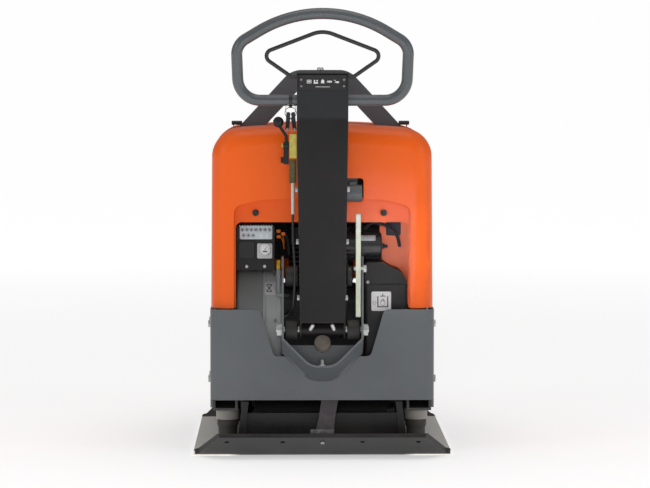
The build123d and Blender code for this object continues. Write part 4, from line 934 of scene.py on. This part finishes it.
class COMPACTOR_OT_wiring(bpy.types.Operator):
    """Add the short wires, plugs and pipe unions in the engine bay"""

    bl_idname = "compactor.wiring"
    bl_label = "Wiring"

    def execute(self, context):
        wire = context.scene.compactor_sizes.wire
        orange = finish("plug_orange")
        leads = [
            ("starter_lead", 0.0085, "line_rubber", [
                (112, -236, 566), (122, -246, 584), (150, -246, 582), (180, -232, 568), (197, -212, 548),
                (201, -204, 520)]),
            ("box_lead", 0.0065, "line_rubber", [
                (-122, -262, 556), (-106, -262, 560), (-92, -256, 552), (-84, -240, 530), (-84, -226, 500)]),
            ("blue_wire", wire, "wire_blue", [
                (112, -236, 500), (120, -252, 503), (132, -254, 498), (140, -238, 490)]),
        ]
        for name, diameter, coat, points in leads:
            tube_along(name, points, diameter, "frame", finish(coat))
        for number, (x, z) in enumerate(((-110, 563), (-110, 549), (-98, 556))):
            at = (x * MM, -0.266, z * MM)
            shell = cube(f"orange_plug_{number + 1}", (0.0105, 0.016, 0.0085), location=at)
            with edges(shell, lambda a, b: True):
                bpy.ops.mesh.bevel(offset=0.0012, segments=2)
            with faces(shell, lambda c, n: n.y < -0.9):
                bpy.ops.mesh.inset(thickness=0.0016, depth=-0.002)
            smooth(shell)
            fitted(shell, orange, "frame")
            points = [(x, -262, z), (x + 6, -252, z - 2), (x + 12, -238, z - 14), (x + 14, -228, z - 34)]
            tube_along(f"orange_wire_{number + 1}", points, wire, "frame", orange)
        for number, (x, lean) in enumerate(((-0.0275, 28), (0.0265, -20))):
            sleeve = cylinder(f"yoke_union_{number + 1}", 20, 0.0052, 0.013)
            with faces(sleeve, lambda c, n: abs(n.z) > 0.9):
                bpy.ops.mesh.inset(thickness=0.0018, depth=0.004, use_individual=True)
            softened(sleeve, 0.0007)
            smooth(sleeve)
            turn = Matrix.Rotation(math.radians(lean), 4, "Y") @ Matrix.Rotation(math.radians(20), 4, "X")
            sleeve.data.transform(Matrix.Translation((x, -0.4155, 0.330)) @ turn)
            fitted(sleeve, finish("bright_zinc"), "handle")
        union = hex_bolt("union_pattern", 0.0150, 0.0110, 0.0090)
        seats = [facing(Vector((x * MM, -0.228, z * MM)), (0, -1, 0)) for x, z in ((112, 497), (128, 494))]
        repeated(union, "pipe_union", seats, finish("union_brass"), "frame")
        discard(union)
        return {"FINISHED"}


class COMPACTOR_OT_key_ring(bpy.types.Operator):
    """Hang two keys on a wire ring from the grip tube"""

    bl_idname = "compactor.key_ring"
    bl_label = "Keys"

    def execute(self, context):
        low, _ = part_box("keys")
        y = low.y + 0.004
        upright = (math.radians(90), 0, 0)
        ring = torus("key_ring", 0.0130, 0.0008, 36, 8, rotation=upright, location=(-0.0795, y, 0.8740))
        smooth(ring, 80)
        fitted(ring, finish("bright_zinc"), "keys")
        fob = cube("key_fob_pattern", (0.0100, 0.0055, 0.0400))
        with edges(fob, lambda a, b: abs(a.y - b.y) > 0.004):
            bpy.ops.mesh.bevel(offset=0.0040, segments=4)
        with faces(fob, lambda c, n: abs(n.y) > 0.9):
            bpy.ops.mesh.inset(thickness=0.0014, depth=-0.0006, use_individual=True)
        softened(fob, 0.0005)
        smooth(fob)
        blade = cube("key_blade_pattern", (0.0050, 0.0016, 0.0120), location=(0, 0, -0.0210))
        with edges(blade, lambda a, b: a.z < -0.026 and b.z < -0.026 and abs(a.y - b.y) > 0.001):
            bpy.ops.mesh.bevel(offset=0.0018, segments=2)
        for number, (x, lean) in enumerate(((-0.0862, 4), (-0.0718, -5))):
            at = Matrix.Translation((x, y - 0.001 + number * 0.002, 0.8470))
            place = at @ Matrix.Rotation(math.radians(lean), 4, "Y")
            key = copied(fob, f"key_fob_{number + 1}", place)
            fitted(key, finish("knob_plastic"), "keys")
            key = copied(blade, f"key_blade_{number + 1}", place)
            fitted(key, finish("oiled_steel"), "keys")
        discard(fob)
        discard(blade)
        return {"FINISHED"}


class COMPACTOR_OT_limit_straps(bpy.types.Operator):
    """Weave the two twisted straps that limit the frame's travel"""

    bl_idname = "compactor.limit_straps"
    bl_label = "Limit straps"

    def execute(self, context):
        webbing = self.webbing()
        low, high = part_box("limit_straps")
        width, inset = 0.046, 0.006
        for side, name in ((-1, "rear"), (1, "front")):
            strap = started(
                bpy.ops.mesh.primitive_grid_add, f"limit_strap_{name}", x_subdivisions=10, y_subdivisions=48,
                size=1)
            edge = low.y + inset if side < 0 else high.y - inset
            for vertex in strap.data.vertices:
                u, v = vertex.co.x, vertex.co.y + 0.5
                turn = math.radians(26 * math.sin(math.pi * v) + 14 * (v - 0.5))
                lean = 0.003 + 0.021 * v
                reach = edge - side * 0.011 * max(0.0, v - 0.35) / 0.65
                bow = 0.004 * math.sin(math.pi * v)
                vertex.co = (
                    -side * lean + u * width * math.cos(turn),
                    reach + u * width * math.sin(turn) * 0.28 - side * bow,
                    low.z + (high.z - low.z) * v,
                )
            apply_modifier(strap, "SOLIDIFY", thickness=0.0034, offset=0)
            softened(strap, 0.0008)
            smooth(strap, 50)
            fitted(strap, webbing, "base")
            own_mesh(strap)
            if side < 0:
                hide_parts("limit_straps")
        return {"FINISHED"}

    def webbing(self):
        material, w, shader = blank_material("strap_webbing")
        flat = w.node("ShaderNodeTexCoord").outputs["UV"]
        place = w.node("ShaderNodeTexCoord").outputs["Object"]
        stretched = w.node(
            "ShaderNodeVectorMath", {0: flat, 1: (0.36, 1.0, 1.0)}, operation="MULTIPLY").outputs[0]
        stretched = w.node(
            "ShaderNodeVectorRotate", {"Vector": stretched, "Angle": math.radians(32)}).outputs[0]
        weave = place_group(w, "weave", {"Vector": stretched, "Threads": 26.0})
        skin = w.blend(weave.outputs["Thread"], (0.030, 0.026, 0.032), (0.125, 0.108, 0.130))
        lying = place_group(w, "dust", {"Vector": place, "Amount": 0.5, "Scale": 22.0}).outputs["Mask"]
        w.feed(shader.inputs["Base Color"], w.blend(lying, skin, WARM_DUST))
        w.feed(shader.inputs["Roughness"], w.span(weave.outputs["Height"], 0.0, 1.0, 0.92, 0.66))
        shader.inputs["Sheen Weight"].default_value = 0.25
        relief = w.node(
            "ShaderNodeBump", {"Strength": 0.8, "Distance": 0.0012, "Height": weave.outputs["Height"]})
        w.feed(shader.inputs["Normal"], relief.outputs[0])
        return material


class COMPACTOR_OT_hose_fittings(bpy.types.Operator):
    """Add the collar where the hose crosses the fold"""

    bl_idname = "compactor.hose_fittings"
    bl_label = "Hose fittings"

    def execute(self, context):
        collar = cylinder("hose_collar_1", 24, 0.0085, 0.020, end_fill_type="NOTHING")
        apply_modifier(collar, "SOLIDIFY", thickness=0.0014, offset=-1)
        with faces(collar, lambda c, n: abs(n.z) < 0.3 and math.hypot(c.x, c.y) > 0.0078):
            bpy.ops.mesh.subdivide(number_cuts=1)
        softened(collar, 0.0006)
        smooth(collar, 40)
        collar.data.transform(Matrix.Translation((0.026, -0.360, 0.480)))
        fitted(collar, finish("bright_zinc"), "frame")
        return {"FINISHED"}


class COMPACTOR_OT_pocket_slot(bpy.types.Operator):
    """Add the framed slot in the right pocket's wall"""

    bl_idname = "compactor.pocket_slot"
    bl_label = "Pocket slot"

    def execute(self, context):
        point, normal = struck(0.1850, 0.5700, ["rear_hood"])
        surround = rounded_plate("slot_surround", 0.0380, 0.0450, 0.0030, 0.005, point, normal)
        with faces(surround, lambda c, n: n.dot(normal) > 0.95):
            bpy.ops.mesh.inset(thickness=0.0035)
            bpy.ops.mesh.extrude_region_move(TRANSFORM_OT_translate={"value": tuple(-normal * 0.0024)})
        smooth(surround)
        fitted(surround, finish("slot_dark"), "frame")
        return {"FINISHED"}


class COMPACTOR_OT_grille_screen(bpy.types.Operator):
    """Fit the fine mesh screen behind the nose grille"""

    bl_idname = "compactor.grille_screen"
    bl_label = "Grille screen"

    def execute(self, context):
        screen = cube("grille_screen", (0.372, 0.002, 0.250), location=(0, 0.3375, 0.579))
        with edges(screen, lambda a, b: abs(a.y - b.y) > 0.001):
            bpy.ops.mesh.bevel(offset=0.010, segments=3)
        with faces(screen, lambda c, n: abs(n.y) > 0.9):
            bpy.ops.mesh.inset(thickness=0.006, depth=-0.0004, use_individual=True)
        smooth(screen)
        fitted(screen, self.mesh_cloth(), "nose_hood")
        return {"FINISHED"}

    def mesh_cloth(self):
        material, w, shader = blank_material("screen_mesh")
        place = w.node("ShaderNodeTexCoord").outputs["Object"]
        bands = [w.bands({"Vector": place, "Scale": 70.0, "Distortion": 0.0}, axis) for axis in "XZ"]
        threads = w.maths("MAXIMUM", *bands)
        w.feed(shader.inputs["Base Color"], w.blend(threads, (0.004, 0.004, 0.004), (0.05, 0.05, 0.052)))
        w.feed(shader.inputs["Roughness"], w.span(threads, 0.0, 1.0, 0.85, 0.45))
        relief = w.node("ShaderNodeBump", {"Strength": 0.7, "Distance": 0.001, "Height": threads})
        w.feed(shader.inputs["Normal"], relief.outputs[0])
        return material


class COMPACTOR_OT_stage(bpy.types.Operator):
    """Lay the floor, hang the lamps and set up the camera"""

    bl_idname = "compactor.stage"
    bl_label = "Stage"

    def execute(self, context):
        self.floor()
        self.lamps()
        self.air()
        self.camera()
        return {"FINISHED"}

    def floor(self):
        """A wide pale floor that glows more with distance, so that it runs into the background."""
        near, far, glow_near, glow_far = 0.6, 7.0, 0.43, 0.645
        floor = started(bpy.ops.mesh.primitive_plane_add, "studio_floor", size=400, location=(0, 150, 0))
        paper, w, shader = blank_material("studio_paper")
        place = w.node("ShaderNodeTexCoord").outputs["Object"]
        mottled = w.noise(place, 1.5, 2.0)
        w.feed(shader.inputs["Base Color"], w.blend(mottled, (0.90, 0.90, 0.90), (0.92, 0.92, 0.92)))
        shader.inputs["Roughness"].default_value = 0.95
        shader.inputs["Specular IOR Level"].default_value = 0.1
        shader.inputs["Emission Color"].default_value = (1.0, 1.0, 1.0, 1.0)
        away = w.node("ShaderNodeVectorMath", {0: place}, operation="LENGTH").outputs["Value"]
        w.feed(shader.inputs["Emission Strength"], w.span(away, near, far, glow_near, glow_far))
        floor.data.materials.append(paper)

    def lamps(self):
        """Large soft panels around the object, and narrow ones into its open side."""
        self.lamp("sky_panel", (0.2, -0.6, 4.2), (0, 0, 0.5), 3.0, 26)
        self.lamp("left_panel", (-3.8, -3.0, 2.2), (0, -0.2, 0.6), 2.0, 20)
        self.lamp("right_panel", (3.8, -2.6, 1.8), (0, -0.2, 0.5), 1.8, 15)
        front = self.lamp("front_panel", (-0.35, -6.2, 1.15), (0, -0.2, 0.45), 0.9, 40)
        bay = self.lamp("bay_panel", (0.15, -3.2, 0.62), (0.05, -0.2, 0.50), 0.5, 6.0)
        pocket = self.lamp("pocket_panel", (0.05, -2.4, 0.58), (0.19, -0.15, 0.53), 0.25, 0.10)
        pocket.data.spread = math.radians(9)
        for fill in (front, bay, pocket):
            fill.visible_glossy = False
        sun = bpy.data.lights.new("even_light", "SUN")
        sun.energy = 0.25
        sun.angle = math.radians(120)
        bpy.context.scene.collection.objects.link(bpy.data.objects.new("even_light", sun))

    def air(self):
        """A dim white surrounding that the camera sees as bright."""
        world = bpy.data.worlds.new("studio_air")
        world.use_nodes = True
        w = Wiring(world.node_tree)
        air = world.node_tree.nodes["Background"]
        air.inputs["Color"].default_value = (1.0, 1.0, 1.0, 1.0)
        seen = w.node("ShaderNodeLightPath").outputs["Is Camera Ray"]
        w.feed(air.inputs["Strength"], w.span(seen, 0.0, 1.0, 0.30, 0.99))
        bpy.context.scene.world = world
        bpy.context.scene.view_settings.view_transform = "Standard"

    def camera(self):
        """A long lens on the operator's side, dipped and turned a little."""
        dip, yaw = 3.366, -0.861
        eye = bpy.data.cameras.new("operator_view")
        eye.lens = 148.2
        eye.sensor_width = 36
        eye.clip_end = 1000
        camera = bpy.data.objects.new("operator_view", eye)
        bpy.context.scene.collection.objects.link(camera)
        camera.location = (-0.094, -7.07, 0.93)
        camera.rotation_euler = (math.radians(90 - dip), 0, math.radians(yaw))
        bpy.context.scene.camera = camera

    def lamp(self, name, at, towards, size, power):
        """A round panel lamp, aimed at a point."""
        light = bpy.data.lights.new(name, "AREA")
        light.shape = "DISK"
        light.size = size
        light.energy = power
        lamp = bpy.data.objects.new(name, light)
        bpy.context.scene.collection.objects.link(lamp)
        lamp.location = at
        lamp.rotation_euler = (Vector(towards) - Vector(at)).to_track_quat("-Z", "Y").to_euler()
        return lamp


# ---------------------------------------------------------------- panel and registration
OPERATORS = (
    COMPACTOR_OT_stage,
    COMPACTOR_OT_finishes,
    COMPACTOR_OT_bolts,
    COMPACTOR_OT_welds,
    COMPACTOR_OT_console_face,
    COMPACTOR_OT_control_box_face,
    COMPACTOR_OT_bay_labels,
    COMPACTOR_OT_wiring,
    COMPACTOR_OT_key_ring,
    COMPACTOR_OT_limit_straps,
    COMPACTOR_OT_hose_fittings,
    COMPACTOR_OT_pocket_slot,
    COMPACTOR_OT_grille_screen,
)


class COMPACTOR_PT_sidebar(bpy.types.Panel):
    """The compactor's settings and pieces."""

    bl_label = "Plate compactor"
    bl_idname = "COMPACTOR_PT_sidebar"
    bl_space_type = "VIEW_3D"
    bl_region_type = "UI"
    bl_category = "Compactor"

    def draw(self, context):
        scene = context.scene
        for settings in (scene.compactor_colours, scene.compactor_sizes):
            box = self.layout.box()
            for name in settings.bl_rna.properties.keys():
                if name not in ("rna_type", "name"):
                    box.prop(settings, name)
        for operator in OPERATORS:
            self.layout.operator(operator.bl_idname)


CLASSES = (CompactorColours, CompactorSizes, *OPERATORS, COMPACTOR_PT_sidebar)


def register():
    for kind in CLASSES:
        bpy.utils.register_class(kind)
    bpy.types.Scene.compactor_colours = bpy.props.PointerProperty(type=CompactorColours)
    bpy.types.Scene.compactor_sizes = bpy.props.PointerProperty(type=CompactorSizes)


def unregister():
    del bpy.types.Scene.compactor_sizes
    del bpy.types.Scene.compactor_colours
    for kind in reversed(CLASSES):
        bpy.utils.unregister_class(kind)


def main():
    register()
    for operator in OPERATORS:
        getattr(bpy.ops.compactor, operator.bl_idname.split(".")[1])()
    drop_selection()


if __name__ == "__main__":
    main()
